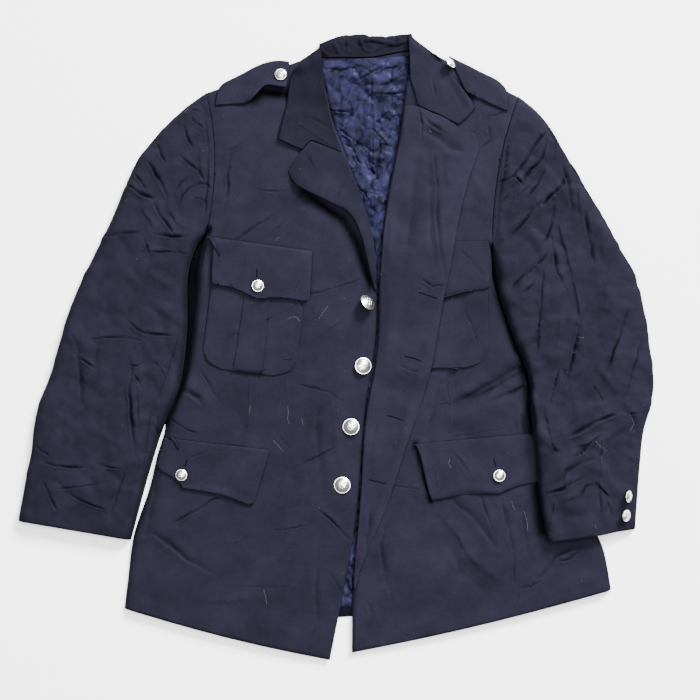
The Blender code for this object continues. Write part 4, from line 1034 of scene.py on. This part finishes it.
def beads_along(form, line, ground, bead, across=False):
    """Adds small beads along a line on the cloth, each pointing along it, or across it."""
    xs, ys = over([place[0] for place in line], [place[1] for place in line])
    for x0, y0, x1, y1 in zip(xs[:-1], ys[:-1], xs[1:], ys[1:]):
        span = math.hypot(x1 - x0, y1 - y0)
        turn = math.atan2(y1 - y0, x1 - x0) + (math.pi / 2 if across else 0)
        count = max(1, round(span / bead.pitch))
        for step in range(count):
            share = (step + 0.5) / count
            x, y = x0 + share * (x1 - x0), y0 + share * (y1 - y0)
            add_bead(form, x, y, ground, turn, bead.length, bead.width)


def add_bead(form, x, y, ground, turn, length, width):
    """A small rounded bead lying on the cloth, sunk by a third of its thickness."""
    start = Vector((x * MM, y * MM, RAY_START))
    place, normal, face, distance = ground.ray_cast(start, Vector((0, 0, -1)))
    if place is None:
        return
    place = place + Vector((0, 0, BEAD_SUNK * width * MM))
    lean = normal.to_track_quat("Z", "X").to_matrix().to_4x4()
    flat_turn = turn - lean.to_euler().z
    size = Matrix.Diagonal((0.5 * length * MM, 0.5 * width * MM, 0.5 * width * MM, 1))
    where = Matrix.Translation(place) @ lean @ Matrix.Rotation(flat_turn, 4, "Z") @ size
    bmesh.ops.create_icosphere(form, subdivisions=1, radius=1.0, matrix=where)


def finish_trim(name, form, material):
    """Turns collected beads into one piece of the jacket."""
    piece = new_piece(name, form)
    piece.data.shade_smooth()
    piece.data.materials.append(material)
    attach(piece, "root")


def top_of(pieces):
    """The cloth's upper surface, to lay small things on."""
    points, faces = [], []
    for piece in pieces:
        first = len(points)
        points += [tuple(point) for point in coordinates(piece.data)]
        faces += [[first + index for index in face.vertices] for face in piece.data.polygons]
    return BVHTree.FromPolygons(points, faces)


def sew_and_scatter(ground):
    """Edge stitching, worked buttonholes, and the fluff and specks that dark wool picks up."""
    stitches = bmesh.new()
    for line in EDGE_STITCHES:
        beads_along(stitches, line, ground, STITCH)
    finish_trim("edge_stitching", stitches, THREAD)

    holes = bmesh.new()
    for line in BUTTONHOLES:
        beads_along(holes, line, ground, HOLE_THREAD, across=True)
    finish_trim("buttonhole_thread", holes, DARK_THREAD)

    lint = bmesh.new()
    for line in LINT:
        beads_along(lint, line, ground, FLUFF)
    picks = np.random.default_rng(7)
    for u, v, turn, length in zip(picks.uniform(25, 645, SPECKS), picks.uniform(60, 640, SPECKS),
                                  picks.uniform(0, math.pi, SPECKS), picks.uniform(0.5, 1.7, SPECKS)):
        x, y = over(u, v)
        add_bead(lint, float(x), float(y), ground, turn, length, FLUFF.width)
    finish_trim("lint", lint, LINT_WHITE)


# Buttons: a turned dome with a rolled rim, and a plain rosette in low relief on it.

# The profile is (share of the radius, share of the height), and so are the petals' and boss's sizes.

BUTTON_PROFILE = (
    (0.0, 0.02), (0.55, 0.02), (0.86, 0.10), (0.97, 0.20), (1.0, 0.30), (0.985, 0.385), (0.94, 0.42),
    (0.895, 0.40), (0.865, 0.415), (0.78, 0.56), (0.62, 0.73), (0.42, 0.88), (0.2, 0.97), (0.0, 1.0))
BUTTON_TURNS = 40
PETALS = 8
PETAL_SIZE = (0.2, 0.095, 0.05)
PETAL_LEAN = math.radians(24)
PETAL_OUT, PETAL_UP = 0.44, 0.86
BOSS_SIZE = (0.15, 0.15, 0.07)
BOSS_UP = 0.985


def turn_button(solid):
    """A detailed button in the place of a plain one, leaning as it does."""
    points = coordinates(solid.data)
    middle = points.mean(axis=0)
    axes = np.linalg.svd(points - middle, full_matrices=False)[2]
    up = Vector(axes[2] if axes[2][2] > 0 else -axes[2]).normalized()
    heights = (points - middle) @ np.array(up)
    across = np.linalg.norm((points - middle) - heights[:, None] * np.array(up), axis=1)
    radius, low, high = across.max(), heights.min(), heights.max()
    form = bmesh.new()
    chain = [form.verts.new((r * radius, 0, low + h * (high - low))) for r, h in BUTTON_PROFILE]
    edges = [form.edges.new(pair) for pair in zip(chain[:-1], chain[1:])]
    bmesh.ops.spin(form, geom=chain + edges, cent=(0, 0, 0), axis=(0, 0, 1), angle=2 * math.pi,
                   steps=BUTTON_TURNS, use_merge=True)
    bmesh.ops.remove_doubles(form, verts=form.verts, dist=0.005 * MM)
    tall = high - low
    for petal in range(PETALS):
        turn = Matrix.Rotation(2 * math.pi * petal / PETALS, 4, "Z")
        lean = Matrix.Rotation(PETAL_LEAN, 4, "Y")
        size = Matrix.Diagonal([share * radius for share in PETAL_SIZE] + [1])
        place = Matrix.Translation((PETAL_OUT * radius, 0, low + PETAL_UP * tall))
        bmesh.ops.create_icosphere(form, subdivisions=2, radius=1.0, matrix=turn @ place @ lean @ size)
    boss = Matrix.Translation((0, 0, low + BOSS_UP * tall)) @ Matrix.Diagonal(BOSS_SIZE + (1,))
    bmesh.ops.create_icosphere(form, subdivisions=2, radius=radius, matrix=boss)
    bmesh.ops.recalc_face_normals(form, faces=form.faces)
    where = Matrix.Translation(Vector(middle)) @ up.to_track_quat("Z", "X").to_matrix().to_4x4()
    form.transform(where)
    button = new_piece(solid.name + "_relief", form)
    button.data.shade_smooth()
    button.data.materials.append(NICKEL)
    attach(button, "root")
    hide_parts(solid.name)


WOOL = wool_serge()
SATIN = satin_lining()
NICKEL = nickel_plate()
THREAD = plain_material("navy_thread", "#1C1C2A", 0.6)
DARK_THREAD = plain_material("buttonhole_twist", "#060609", 0.6)
LINT_WHITE = plain_material("white_lint", "#62636F", 0.9)

set_up_studio()
cloths = [dress(panel, SATIN if panel.node == "lining" else WOOL) for panel in PANELS]
sew_and_scatter(top_of(cloths))
for name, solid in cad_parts.items():
    if name.startswith("button"):
        turn_button(solid)
